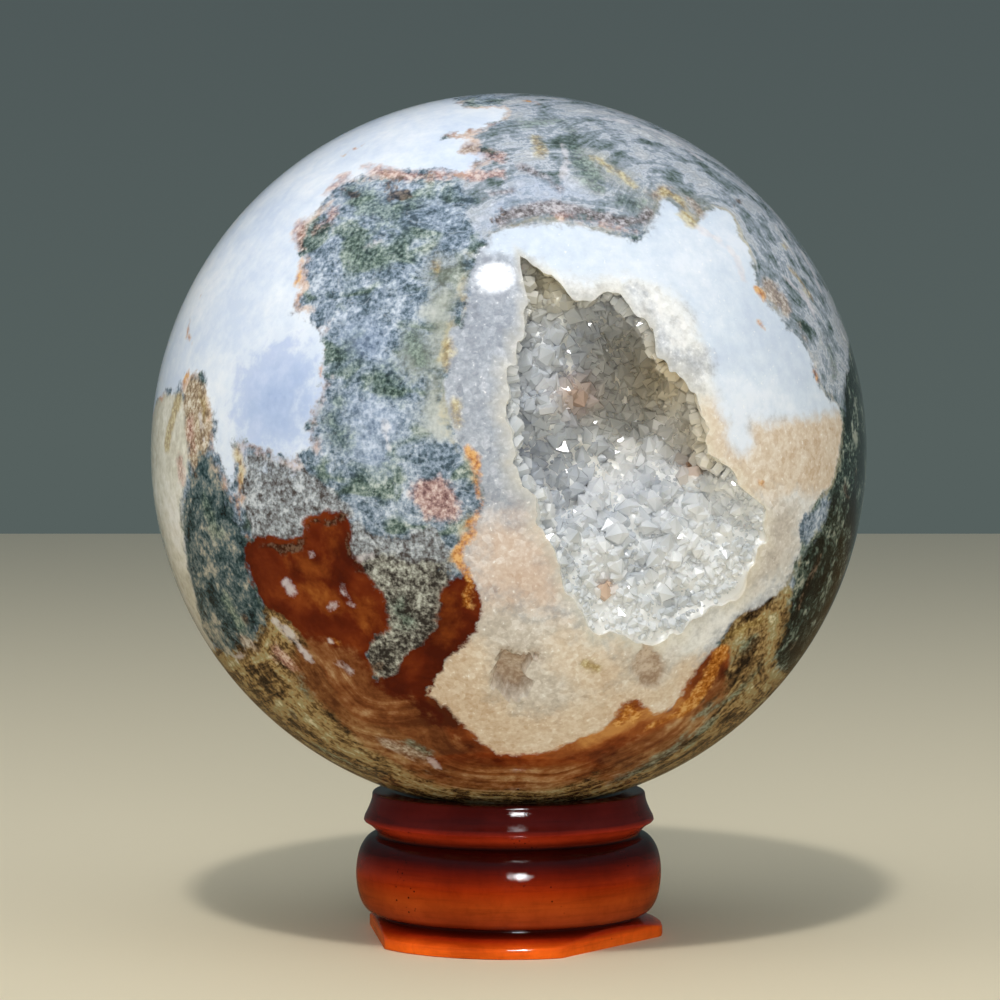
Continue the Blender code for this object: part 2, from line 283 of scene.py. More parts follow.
def rimReach(bearing, below):
    # reach from the cavity's middle to its rim, eased between the outline's points, then nicked.
    # The nicks change with the mm below the rim.
    bearings, reaches = np.array(cavity["rim"]).T
    bearing = bearing % 360
    low = np.searchsorted(bearings, bearing, side="right") - 1
    nextBearings, nextReaches = np.append(bearings[1:], bearings[0] + 360), np.roll(reaches, -1)
    share = ease((bearing - bearings[low]) / (nextBearings[low] - bearings[low]))
    reach = reaches[low] + (nextReaches[low] - reaches[low]) * share
    turn = np.radians(bearing)
    ring = np.stack([np.cos(turn) * reach, np.sin(turn) * reach, below], axis=1)
    for number, (spacing, depth) in enumerate(cavity["rimJag"]):
        reach = reach + depth * latticeNoise(ring, spacing, seeds["rim"] + number)
    return reach


def gentleness(bearing):
    # 1 on the lower slope, where the wall runs out gently to the polished face, and 0 elsewhere
    off = np.abs((bearing - cavity["gentleBearing"] + 180) % 360 - 180)
    return ease(0.5 + (cavity["gentleHalfAngle"] - off) / cavity["gentleFade"])


def cavityPoints(bearing, t):
    # a superellipse: t goes from 0 at the middle over the floor to 0.5 at the wall's foot, and up it to 1
    gentle = gentleness(bearing)
    power = cavity["steepWall"] + (cavity["gentleWall"] - cavity["steepWall"]) * gentle
    corner = 0.5 ** (1 / power)
    onFloor = t < 0.5
    floorAcross = np.minimum(2 * t, 1) * corner
    wallDown = np.minimum(2 * (1 - t), 1) * corner
    across = np.where(onFloor, floorAcross, (1 - wallDown ** power) ** (1 / power))
    down = np.where(onFloor, (1 - floorAcross ** power) ** (1 / power), wallDown)
    across = across + cavity["undercut"] * (1 - gentle) * np.sin(np.pi * down) ** 2
    reach = rimReach(bearing, cavity["floor"] * down) * across
    x, z = reach * np.cos(np.radians(bearing)), reach * np.sin(np.radians(bearing))

    def bump(centre, spread):
        spread = np.broadcast_to(spread, 2)
        return np.exp(-((x - centre[0]) / spread[0]) ** 2 - ((z - centre[1]) / spread[1]) ** 2)

    turn = 2 * np.pi / cavity["lumpSpacing"]
    (swayX, rateX), (swayZ, rateZ) = cavity["lumpSway"]
    swayedX = turn * x + swayX * np.sin(turn * z * rateX)
    swayedZ = turn * z + swayZ * np.sin(turn * x * rateZ)
    depth = (cavity["floor"] + cavity["holeDepth"] * bump(cavity["hole"], cavity["holeSpread"])
             - cavity["shelfRise"] * bump(cavity["shelf"], cavity["shelfSpread"])
             + cavity["lumpHeight"] * np.sin(swayedX) * np.cos(swayedZ))
    for clusterX, clusterZ, spread, rise in cavity["clusters"]:
        depth = depth - rise * bump((clusterX, clusterZ), spread)
    flat = np.stack([x, 0 * x, z], axis=1)
    for number, (spacing, height) in enumerate(cavity["roughness"]):
        depth = depth + height * latticeNoise(flat, spacing, seeds["roughness"] + number)
    x, z = cavity["middle"][0] + x, cavity["middle"][1] + z
    front = -np.sqrt(stoneRadius ** 2 - x ** 2 - z ** 2)
    return np.stack([x, front + down * depth, z], axis=1)


# The stone's zones, as outlines in photo pixels. Points past the silhouette lie on the back.

zones = {
    "white": [
        [(452, 60), (456, 104), (478, 112), (502, 110), (500, 121), (476, 130), (444, 136), (463, 143),
         (492, 154), (478, 162), (470, 168), (459, 172), (412, 171), (385, 171), (360, 177), (338, 187),
         (322, 206), (304, 222), (297, 238), (304, 256), (298, 282), (293, 312), (318, 322), (324, 345),
         (325, 372), (319, 393), (311, 407), (309, 429), (309, 450), (297, 459), (285, 457), (264, 450),
         (240, 438), (233, 447), (236, 475), (234, 498), (225, 475), (215, 452), (214, 428), (209, 394),
         (197, 372), (184, 380), (176, 394), (164, 392), (154, 410), (120, 440), (80, 420), (110, 260),
         (200, 120), (330, 50)],
    ],
    "quartz": [
        [(484, 243), (508, 233), (532, 227), (567, 228), (600, 233), (624, 240), (640, 240), (650, 230),
         (658, 214), (665, 202), (675, 206), (682, 218), (696, 228), (704, 216), (715, 211), (730, 220),
         (737, 237), (748, 257), (753, 275), (757, 292), (768, 306), (787, 328), (802, 342), (811, 364),
         (821, 392), (840, 412), (839, 443), (831, 478), (822, 490), (806, 512), (800, 529), (799, 552),
         (789, 573), (772, 598), (753, 611), (735, 621), (720, 643), (707, 662), (696, 680), (680, 703),
         (656, 719), (643, 719), (633, 706), (621, 719), (600, 734), (579, 743), (555, 753), (536, 757),
         (500, 760), (476, 756), (461, 744), (440, 716), (417, 704), (433, 676), (449, 649), (466, 631),
         (470, 604), (470, 585), (460, 566), (462, 548), (470, 532), (476, 515), (483, 503), (479, 482),
         (472, 456), (462, 445), (456, 428), (447, 390), (448, 365), (455, 334), (464, 311), (470, 289),
         (474, 259)],
    ],
    "milky": [
        [(484, 250), (512, 222), (600, 216), (646, 228), (664, 190), (700, 190), (750, 230), (790, 300),
         (850, 400), (842, 412), (807, 416), (772, 423), (752, 424), (751, 444), (741, 454), (731, 444),
         (727, 424), (722, 408), (712, 380), (706, 350), (692, 318), (668, 292), (640, 280), (618, 276),
         (596, 280), (566, 277), (545, 266), (523, 258)],
    ],
    "softWhite": [
        [(540, 238), (600, 238), (650, 256), (700, 306), (724, 380), (734, 430), (706, 424), (690, 372),
         (652, 312), (612, 288), (570, 292), (545, 270)],
        [(764, 492), (790, 480), (830, 480), (812, 529), (800, 560), (786, 582), (770, 598), (735, 620),
         (716, 643), (690, 668), (650, 676), (600, 668), (560, 650), (590, 640), (646, 640), (700, 622),
         (742, 592), (766, 552)],
    ],
    "warmWhite": [
        [(446, 650), (462, 610), (500, 600), (560, 612), (600, 640), (680, 660), (700, 690), (640, 712),
         (590, 740), (500, 760), (440, 716), (420, 700)],
        [(690, 430), (712, 470), (760, 500), (800, 500), (790, 560), (740, 600), (700, 560), (680, 480)],
    ],
    "cream": [
        [(404, 704), (433, 676), (449, 649), (462, 640), (480, 660), (480, 690), (510, 716), (560, 722),
         (600, 700), (630, 690), (660, 694), (690, 670), (712, 662), (696, 690), (680, 712), (656, 729),
         (600, 745), (536, 770), (470, 765)],
        [(702, 418), (727, 416), (731, 447), (741, 458), (752, 448), (752, 424), (772, 423), (807, 416),
         (852, 411), (848, 443), (836, 478), (815, 484), (790, 480), (762, 488), (740, 500), (720, 508),
         (708, 486), (700, 448)],
        [(566, 648), (592, 650), (612, 664), (606, 682), (584, 684), (566, 670)],
    ],
    "pink": [
        [(478, 530), (494, 512), (520, 520), (545, 540), (556, 566), (562, 596), (545, 612), (510, 606),
         (482, 596), (470, 566)],
    ],
    "carnelian": [
        [(254, 543), (287, 546), (303, 544), (311, 531), (313, 522), (340, 520), (346, 535), (345, 555),
         (356, 566), (365, 584), (381, 605), (382, 624), (366, 640), (363, 662), (372, 684), (394, 680),
         (412, 659), (440, 632), (446, 600), (456, 580), (470, 590), (472, 612), (468, 634), (450, 651),
         (436, 668), (420, 700), (436, 716), (430, 728), (393, 726), (361, 716), (342, 699), (331, 681),
         (323, 659), (309, 640), (290, 617), (266, 603), (253, 576), (247, 556)],
        [(-30, 470), (10, 425), (70, 450), (84, 540), (50, 640), (-10, 600)],
    ],
    "rustBand": [
        [(420, 700), (443, 712), (470, 744), (500, 759), (536, 758), (556, 754), (580, 744),
         (608, 734), (621, 719), (634, 705), (645, 719), (663, 717), (682, 703), (697, 680), (708, 662),
         (724, 652), (722, 680), (704, 703), (690, 713), (672, 735), (640, 752), (600, 768), (556, 781),
         (523, 774), (480, 772), (448, 768), (426, 744), (400, 728)],
    ],
    "umber": [
        [(296, 646), (316, 640), (340, 650), (362, 664), (384, 690), (412, 704), (436, 726), (470, 752),
         (520, 768), (580, 764), (600, 776), (520, 792), (440, 786), (380, 756), (330, 716), (296, 680)],
        [(600, 760), (660, 730), (700, 700), (720, 672), (730, 690), (690, 740), (640, 772), (600, 784)],
        [(-90, 430), (-20, 370), (90, 400), (116, 540), (70, 700), (-50, 660)],
    ],
    "tan": [
        [(228, 649), (245, 642), (259, 634), (268, 606), (290, 616), (309, 640), (323, 659), (340, 690),
         (361, 712), (393, 720), (430, 722), (450, 752), (480, 765), (523, 768), (556, 772), (600, 760),
         (640, 745), (672, 725), (690, 705), (706, 690), (716, 670), (726, 640), (740, 618), (756, 608),
         (774, 598), (790, 602), (786, 636), (781, 662), (796, 674), (860, 720), (800, 850), (640, 960),
         (420, 980), (230, 880), (150, 760), (190, 680)],
    ],
    "sand": [
        [(190, 378), (203, 384), (211, 400), (212, 430), (206, 452), (200, 474), (192, 466), (188, 440),
         (185, 410), (186, 392)],
    ],
    "beige": [
        [(178, 398), (186, 440), (184, 470), (180, 500), (186, 560), (198, 606), (214, 650), (236, 700),
         (180, 740), (110, 600), (80, 440), (150, 410)],
    ],
    "green": [
        [(196, 470), (204, 455), (214, 462), (223, 487), (235, 514), (246, 536), (252, 548), (250, 570),
         (256, 590), (264, 608), (262, 630), (250, 640), (230, 650), (210, 640), (196, 600), (188, 560),
         (185, 510)],
    ],
    "deepGreen": [
        [(844, 400), (842, 443), (833, 480), (829, 512), (822, 532), (806, 552), (800, 576), (792, 604),
         (784, 636), (778, 662), (792, 672), (830, 700), (910, 680), (980, 540), (960, 420), (900, 330),
         (858, 330), (846, 380)],
        [(860, 80), (940, 160), (1010, 260), (960, 300), (880, 240), (820, 150)],
    ],
    "crown": [
        [(503, 60), (505, 112), (502, 124), (480, 132), (468, 148), (494, 156), (474, 170), (462, 180),
         (466, 205), (478, 238), (504, 240), (600, 240), (655, 235), (700, 240), (750, 300), (800, 360),
         (830, 400), (846, 408), (850, 380), (900, 330), (960, 220), (860, 60), (700, -20), (560, 0)],
    ],
    "lobes": [
        [(1020, 420), (1090, 400), (1150, 480), (1110, 620), (1030, 640), (990, 540)],
        [(60, 880), (160, 860), (240, 940), (220, 1040), (100, 1060), (30, 960)],
        [(240, 470), (250, 458), (266, 456), (285, 462), (297, 465), (316, 476), (342, 500), (345, 520),
         (338, 521), (313, 521), (310, 531), (303, 544), (287, 546), (256, 543), (248, 520), (243, 500)],
        [(400, 540), (430, 530), (446, 545), (452, 566), (440, 574), (410, 570), (380, 560), (350, 566),
         (340, 545), (350, 525), (372, 535)],
    ],
    "darkMoss": [
        [(358, 566), (380, 560), (408, 566), (436, 566), (450, 580), (448, 606), (440, 632), (412, 659),
         (394, 682), (378, 676), (368, 664), (370, 645), (383, 625), (380, 604), (366, 582)],
    ],
    "clearBlue": [
        [(236, 378), (262, 352), (300, 340), (320, 372), (308, 410), (304, 440), (290, 456), (262, 446),
         (238, 432)],
    ],
    "blueHaze": [
        [(340, 330), (360, 318), (384, 330), (380, 356), (356, 366), (340, 352)],
        [(350, 400), (372, 396), (392, 410), (396, 440), (384, 470), (362, 468), (350, 440)],
        [(474, 240), (520, 180), (580, 190), (600, 205), (560, 200), (510, 205), (490, 232)],
    ],
    "haze": [
        [(860, 860), (980, 800), (1040, 880), (980, 980), (860, 960)],
        [(-140, 240), (-60, 160), (40, 200), (20, 300), (-80, 320)],
        [(428, 296), (442, 290), (452, 300), (446, 340), (444, 400), (450, 430), (440, 440), (420, 430),
         (424, 400), (434, 372), (430, 330)],
        [(410, 330), (424, 336), (430, 360), (420, 380), (404, 376), (400, 350)],
    ],
    "olive": [
        [(428, 250), (452, 252), (470, 262), (466, 290), (458, 318), (448, 345), (446, 390), (452, 428),
         (440, 440), (428, 410), (424, 370), (430, 330), (424, 290)],
        [(636, 200), (662, 186), (700, 196), (716, 210), (690, 230), (672, 208), (652, 224), (640, 214)],
        [(575, 150), (600, 152), (634, 178), (640, 196), (612, 186), (588, 172)],
    ],
}

# Lines and spots: half width in pixels, then the middle line's points
strokes = {
    "orangeMarks": [
        (3.0, (468, 450), (475, 462), (477, 476), (476, 488), (480, 498), (482, 505), (476, 516),
         (470, 523), (471, 533), (463, 542), (457, 552), (456, 560), (461, 567), (468, 575), (468, 588),
         (466, 604)),
        (2.5, (345, 156), (354, 150), (366, 145)), (2.0, (224, 283)), (1.8, (201, 297)),
        (3.0, (190, 320), (188, 336), (192, 342)), (2.5, (188, 374), (184, 382)),
        (3.6, (235, 498), (238, 514), (244, 528), (250, 542)), (4, (528, 102), (541, 106)), (3.2, (761, 324)),
        (11, (722, 652), (714, 670), (700, 694), (684, 712)), (4, (684, 712), (650, 728)),
        (4, (814, 372), (817, 380)), (3.4, (757, 290), (764, 300)), (5, (620, 722), (632, 708), (636, 718)),
        (1.8, (333, 640), (338, 643)), (2.6, (691, 466), (694, 472)), (2.4, (761, 483)),
        (0.8, (298, 250), (302, 262), (298, 284)), (1.6, (320, 376), (322, 366)),
    ],
    "ochreMarks": [
        (5, (537, 139), (539, 146), (542, 154)), (5.5, (436, 265), (438, 273)),
        (11, (178, 400), (172, 420), (167, 446)), (6, (664, 193), (676, 198), (684, 208)), (3.5, (785, 247)),
        (1.5, (592, 158), (606, 166), (622, 176), (634, 188)), (3, (448, 345), (446, 372)),
        (3, (456, 405), (459, 425)), (2.6, (236, 452), (240, 470), (240, 486)),
        (6, (684, 216), (692, 224)), (4, (790, 270), (802, 284), (812, 300)), (2.6, (462, 320), (466, 300)),
        (6, (724, 640), (740, 630), (760, 622)), (4, (200, 392), (204, 410), (200, 424)),
        (6, (586, 664), (596, 668)),
    ],
    "darkMarks": [
        (5, (343, 192), (356, 196)), (5.5, (392, 198), (408, 196)), (3.5, (386, 186), (400, 180)),
        (2.5, (318, 220), (313, 232)), (6, (378, 666), (386, 668)), (4, (321, 711), (332, 716)),
        (3, (705, 706), (720, 694)), (3.5, (845, 488), (848, 500)), (4, (740, 202), (732, 206)),
        (2.6, (495, 222), (506, 213)), (5, (820, 556), (806, 590), (798, 610)), (3, (790, 650), (800, 640)),
        (3, (856, 470), (852, 530), (838, 590)), (4, (262, 676), (276, 692)), (3, (290, 712), (300, 724)),
        (2.4, (300, 545), (309, 536), (312, 522), (330, 524), (344, 516)), (3, (190, 466), (196, 476)),
        (2.4, (258, 546), (280, 549), (300, 547)), (3, (346, 536), (350, 556), (362, 572)),
        (3.4, (420, 772), (450, 778)), (2.6, (690, 710), (704, 700)), (4, (244, 616), (252, 628)),
    ],
    "greenMarks": [
        (5, (514, 124), (530, 125), (545, 121), (560, 122), (572, 130)),
        (9, (572, 130), (574, 150), (584, 168), (598, 188)), (10, (378, 262), (384, 270)),
        (12, (388, 378), (396, 388)), (5, (336, 398), (340, 402)), (10, (402, 608), (408, 618)),
        (5, (318, 748), (345, 762), (372, 772)), (7, (410, 744), (424, 752)),
        (7, (640, 768), (662, 758), (684, 742)),
        (6, (824, 336), (832, 356), (834, 376)), (5, (300, 680), (312, 700)), (8, (204, 500), (216, 530)),
        (8, (620, 200), (636, 206)), (5, (840, 640), (820, 680)), (12, (360, 200), (386, 214), (414, 206)),
        (10, (412, 340), (420, 360)), (9, (352, 240), (360, 262)),
        (9, (330, 420), (342, 440)), (8, (690, 745), (712, 722)), (8, (224, 600), (240, 628)),
        (9, (620, 780), (650, 766), (684, 740)), (26, (860, 800), (930, 760), (960, 700)),
        (22, (300, 960), (380, 1010), (460, 1000)), (22, (1120, 330), (1160, 260)),
        (26, (-100, 760), (-40, 820), (20, 830)), (18, (620, 1080), (700, 1060)),
        (5, (736, 660), (752, 640)), (4, (700, 715), (730, 700), (760, 668)),
    ],
    "bandMarks": [
        (7, (500, 222), (516, 214), (536, 210), (556, 208), (578, 211), (600, 217), (622, 222), (640, 222),
         (648, 214)),
        (4, (520, 168), (545, 178), (560, 190)), (3, (476, 205), (490, 196), (512, 192)),
    ],
    "pinkMarks": [
        (19, (434, 494), (440, 504)), (8, (470, 150), (500, 158)), (7, (474, 178), (500, 176)),
        (7, (330, 190), (345, 178)), (7, (318, 232), (334, 214)),
        (4, (560, 214), (600, 224), (636, 232)), (5, (180, 460), (182, 480)),
        (6, (366, 168), (400, 176), (440, 176)),
        (6, (300, 226), (302, 250)), (8, (276, 652), (290, 668)), (6, (190, 420), (192, 450)),
    ],
    "dunMarks": [
        (12, (768, 288), (786, 308)), (5, (800, 326), (806, 340)), (8, (386, 744), (404, 750), (420, 758)),
        (6, (690, 200), (700, 214)), (5, (654, 196), (668, 190)), (7, (470, 150), (490, 152)),
        # the last mark below is painted shadow along the upper edge of the first hollow
        (6, (240, 640), (256, 648)), (3, (504, 653), (520, 660), (538, 656)),
    ],
    "amberMarks": [
        (12, (316, 592), (334, 606)), (9, (358, 608), (370, 622)), (7, (330, 534), (336, 548)),
        (8, (450, 600), (444, 640)), (7, (300, 566), (322, 572)),
    ],
    "paleMarks": [
        (5, (286, 583), (291, 592)), (4, (342, 586), (345, 596), (352, 606)), (2.4, (313, 556)),
        (2.4, (331, 642)), (3, (336, 606), (330, 608)), (3, (784, 278), (806, 300), (814, 318)),
        (3, (360, 560), (372, 556)), (3, (364, 250), (380, 240)), (2.5, (384, 425), (388, 450)),
        (5, (245, 652), (238, 660)), (3, (200, 410), (203, 440)), (5, (340, 664), (350, 672)),
        (5, (276, 622), (290, 634), (310, 660)), (4, (430, 760), (440, 770)),
        (4, (700, 230), (730, 250), (744, 280)), (4, (600, 120), (650, 130), (700, 160)),
        (5, (730, 170), (764, 200), (790, 240)), (4, (800, 250), (824, 300)),
        (4, (560, 140), (566, 160), (560, 180)),
    ],
}

# Stains in the cavity: middle and spread in photo pixels, and colour
stainStrength = 0.85
stains = {
    "sandyWall": ((668, 380), 42, "#eedcb6"),
    "sandyEdge": ((704, 440), 30, "#eee2c8"),
    "sandyShelf": ((548, 285), 34, "#c2b89c"),
    "pinkLump": ((576, 396), 20, "#b8967c"),
    "rustSpot": ((692, 466), 9, "#b87c3c"),
    "rustBead": ((606, 588), 7, "#cf9a62"),
}


def stainFields(places):
    # how strongly each stain colours a place, fading out from its middle
    seen = seenPixels(places)
    return {name: np.exp(-((seen - middle) ** 2).sum(axis=1) / spread ** 2)
            for name, (middle, spread, _) in stains.items()}


def stained(tree, colour):
    # lays the stains over a colour
    for name, (_, _, hexValue) in stains.items():
        amount = addNode(tree, "Attribute", {"attribute_name": name})["Fac"]
        amount = addNode(tree, "Math", {"operation": "MULTIPLY", 1: stainStrength}, {0: amount})[0]
        colour = addNode(tree, "Mix", {"data_type": "RGBA", 7: linearColour(hexValue)},
                         {0: amount, 6: colour})[2]
    return colour


# Two shallow hollows in the polished face, where small cavities were cut open: depth in mm and outline
hollows = (
    (1.7, [(501, 650), (520, 657), (538, 654), (530, 666), (526, 676), (533, 686), (516, 702), (500, 692),
           (490, 682), (496, 664)]),
    (0.35, [(640, 648), (648, 642), (660, 653), (665, 664), (664, 680), (655, 690), (640, 688), (632, 668)]),
)

stone = {
    "columns": 360, "cavityRows": 84, "polishedRows": 172,
    "rowGrading": 1.35,         # rows close together at the rim, wider towards the back
    "hollowEdge": 0.5,          # mm over which a hollow's wall goes down
    "hollowJag": (0.9, 0.35), "hollowLumps": (1.6, 0.3),    # spacing in mm, and reach in mm or share of depth
    "sharpAngle": 38,           # degrees between two faces from which the edge shows
    "frontReach": 66, "frontFade": 12,          # unrolled mm from the middle to where the back begins
    "backWander": ((9.0, 4.0), (3.5, 2.0), (1.4, 1.0)),     # spacing and reach of the outlines' waves there
}


def stoneRings():
    # rings round the cavity: over its floor and wall to the rim, then along great circles to the far side
    bearing = np.arange(stone["columns"]) * 360 / stone["columns"]
    rings = []
    for row in range(1, stone["cavityRows"] + 1):
        rings.append(cavityPoints(bearing, np.full(len(bearing), row / stone["cavityRows"])))
    rim = unit(rings[-1])
    middleX, middleZ = cavity["middle"]
    middleY = -math.sqrt(stoneRadius ** 2 - middleX ** 2 - middleZ ** 2)
    far = -unit(np.array([middleX, middleY, middleZ]))
    arc = np.arccos(np.clip(rim @ far, -1, 1))[:, None]
    rimGap = [np.zeros(len(bearing))] * stone["cavityRows"]
    for row in range(1, stone["polishedRows"]):
        share = (row / stone["polishedRows"]) ** stone["rowGrading"]
        along = np.sin((1 - share) * arc) * rim + np.sin(share * arc) * far
        rings.append(stoneRadius * along / np.sin(arc))
        rimGap.append(share * arc[:, 0] * stoneRadius)
    return np.array(rings), far * stoneRadius, np.concatenate([[0.0], *rimGap, [100.0]])


def dressStone(material):
    # the skin with a field for each zone and stroke, and for the depth in the cavity and its hollows
    rings, far, rimGap = stoneRings()
    near = cavityPoints(np.array([0.0]), np.array([0.0]))[0]
    shape = rings.shape
    points = np.vstack([near, rings.reshape(-1, 3), far])
    places = unrollPlaces(points)
    inCavity = np.zeros(len(points))
    inCavity[:1 + (stone["cavityRows"] - 1) * stone["columns"]] = 1
    hidden = ease((np.hypot(*places.T) - stone["frontReach"]) / stone["frontFade"])
    wander = sum(reach * latticeNoise(points, spacing, seeds["back"] + number)
                 for number, (spacing, reach) in enumerate(stone["backWander"]))
    fields = {name: zoneField(places, outlines) + hidden * wander for name, outlines in zones.items()}
    fields.update({name: strokeField(places, marks) for name, marks in strokes.items()})
    hollow = np.zeros(len(points))
    jagSpacing, jagReach = stone["hollowJag"]
    lumpSpacing, lumpShare = stone["hollowLumps"]
    for depth, outline in hollows:
        inside = zoneField(places, [outline])
        ragged = inside + jagReach * latticeNoise(points, jagSpacing, seeds["hollow"])
        sunk = ease(ragged / stone["hollowEdge"]) * (1 - inCavity)
        hollow = np.maximum(hollow, sunk)
        sink = sunk * depth * (1 + lumpShare * latticeNoise(points, lumpSpacing, seeds["hollow"] + 1))
        points = points - unit(points) * sink[:, None]
    fields["cavityDepth"] = np.maximum((stoneRadius - np.linalg.norm(points, axis=1)) * inCavity, 0)
    fields["hollow"], fields["rimGap"] = hollow, rimGap
    fields.update(stainFields(points))
    points = points + stoneCentre
    rings = points[1:-1].reshape(shape)
    piece = ringSurface("agate_stone", rings, points[0], points[-1], material, fields)
    piece.data.shade_smooth()
    piece.data.set_sharp_from_angle(angle=math.radians(stone["sharpAngle"]))
    return piece


# Agate: chalcedony with moss-like inclusions, ground and polished. Smooth and glossy, IOR 1.54,
# with soft cloudy whites that let a little light in, and grainy green, grey and tan moss.

agateLook = {
    # noises: spacing of their features in mm, detail, roughness, distortion, stretch along x, y and z
    "noises": {
        "cloud": (13.0, 3, 0.5, 0.4, (1, 1, 1)),
        "patch": (4.6, 4, 0.6, 0.25, (1, 1, 1)),
        "grain": (1.5, 4, 0.66, 0.0, (1, 1, 1)),
        "speck": (0.5, 2, 0.6, 0.0, (1, 1, 1)),
        "swirl": (4.4, 3, 0.5, 0.5, (0.8, 0.8, 1.3)),
    },
    # streaks that run along the edge of a zone: their width in mm, noise, and drift per mm along the edge
    "streaks": {"tanStreak": ("tan", 2.1), "quartzStreak": ("quartz", 1.6)},
    "streakNoise": {"Detail": 4, "Roughness": 0.6, "Distortion": 0.9}, "streakDrift": 0.16,
    # patterns that colours follow: shares of the noises
    "patterns": {
        "moss": {"patch": 0.30, "grain": 0.34, "speck": 0.36},
        "mottled": {"patch": 0.42, "tanStreak": 0.12, "grain": 0.26, "speck": 0.20},
        "fine": {"patch": 0.15, "grain": 0.45, "speck": 0.40},
        "clear": {"cloud": 0.5, "patch": 0.2, "grain": 0.3},
        "sugar": {"cloud": 0.30, "grain": 0.28, "speck": 0.28, "cells": 0.14},
        "flowing": {"tanStreak": 0.32, "patch": 0.26, "grain": 0.24, "speck": 0.18},
        "glassy": {"cloud": 0.45, "patch": 0.40, "tanStreak": 0.10, "grain": 0.05},
        "marbled": {"quartzStreak": 0.24, "patch": 0.30, "swirl": 0.24, "grain": 0.12, "speck": 0.10},
        "banded": {"tanStreak": 0.32, "cloud": 0.18, "patch": 0.24, "grain": 0.26},
    },
    "cellSize": 0.8,            # mm across a grain of sugary quartz
    "edgeShift": {"patch": 0.55, "grain": 0.45},
    "blueMoss": ((0.40, "#4a5a66"), (0.455, "#6f8190"), (0.50, "#8f9eb0"), (0.54, "#a8b5c5"),
                 (0.60, "#d0d8e2")),
    "greenMoss": ((0.40, "#2f3f35"), (0.455, "#516456"), (0.50, "#738576"), (0.54, "#909e90"),
                  (0.60, "#b9c1b6")),
    # pale threads where a noise crosses a value: the noise, the value, half the width and the strength
    "threads": (("swirl", 0.47, 0.014, 0.3), ("patch", 0.53, 0.010, 0.3)),
    # the glint colour is for painted highlights on single crystals of the quartz
    "threadColour": "#d6dfe7", "paintedGlintColour": "#fbfbfa",
    # broken fringe just outside a zone: its two tones
    "fringes": {"white": ("#c99a7c", "#ead0bd"), "quartz": ("#8f8468", "#c6bea2")},
    "lip": (2.4, 0.45, "#e4dcc6"),      # paler quartz along the rim: mm wide, strength and colour
    # the wall's colours by depth, paler and warmer deeper down: the paleness is painted light that lifts the
    # shade in the deep hole
    "wall": ((0.0, "#dad9d4"), (0.2, "#dddfe0"), (0.6, "#f2eee4"), (1.0, "#f7f1e2")),
    "wallDepth": 24.0,          # mm down to the last of the wall's colours
    "hollowColours": ((0.42, "#a18a76"), (0.58, "#cdbdac")),
}

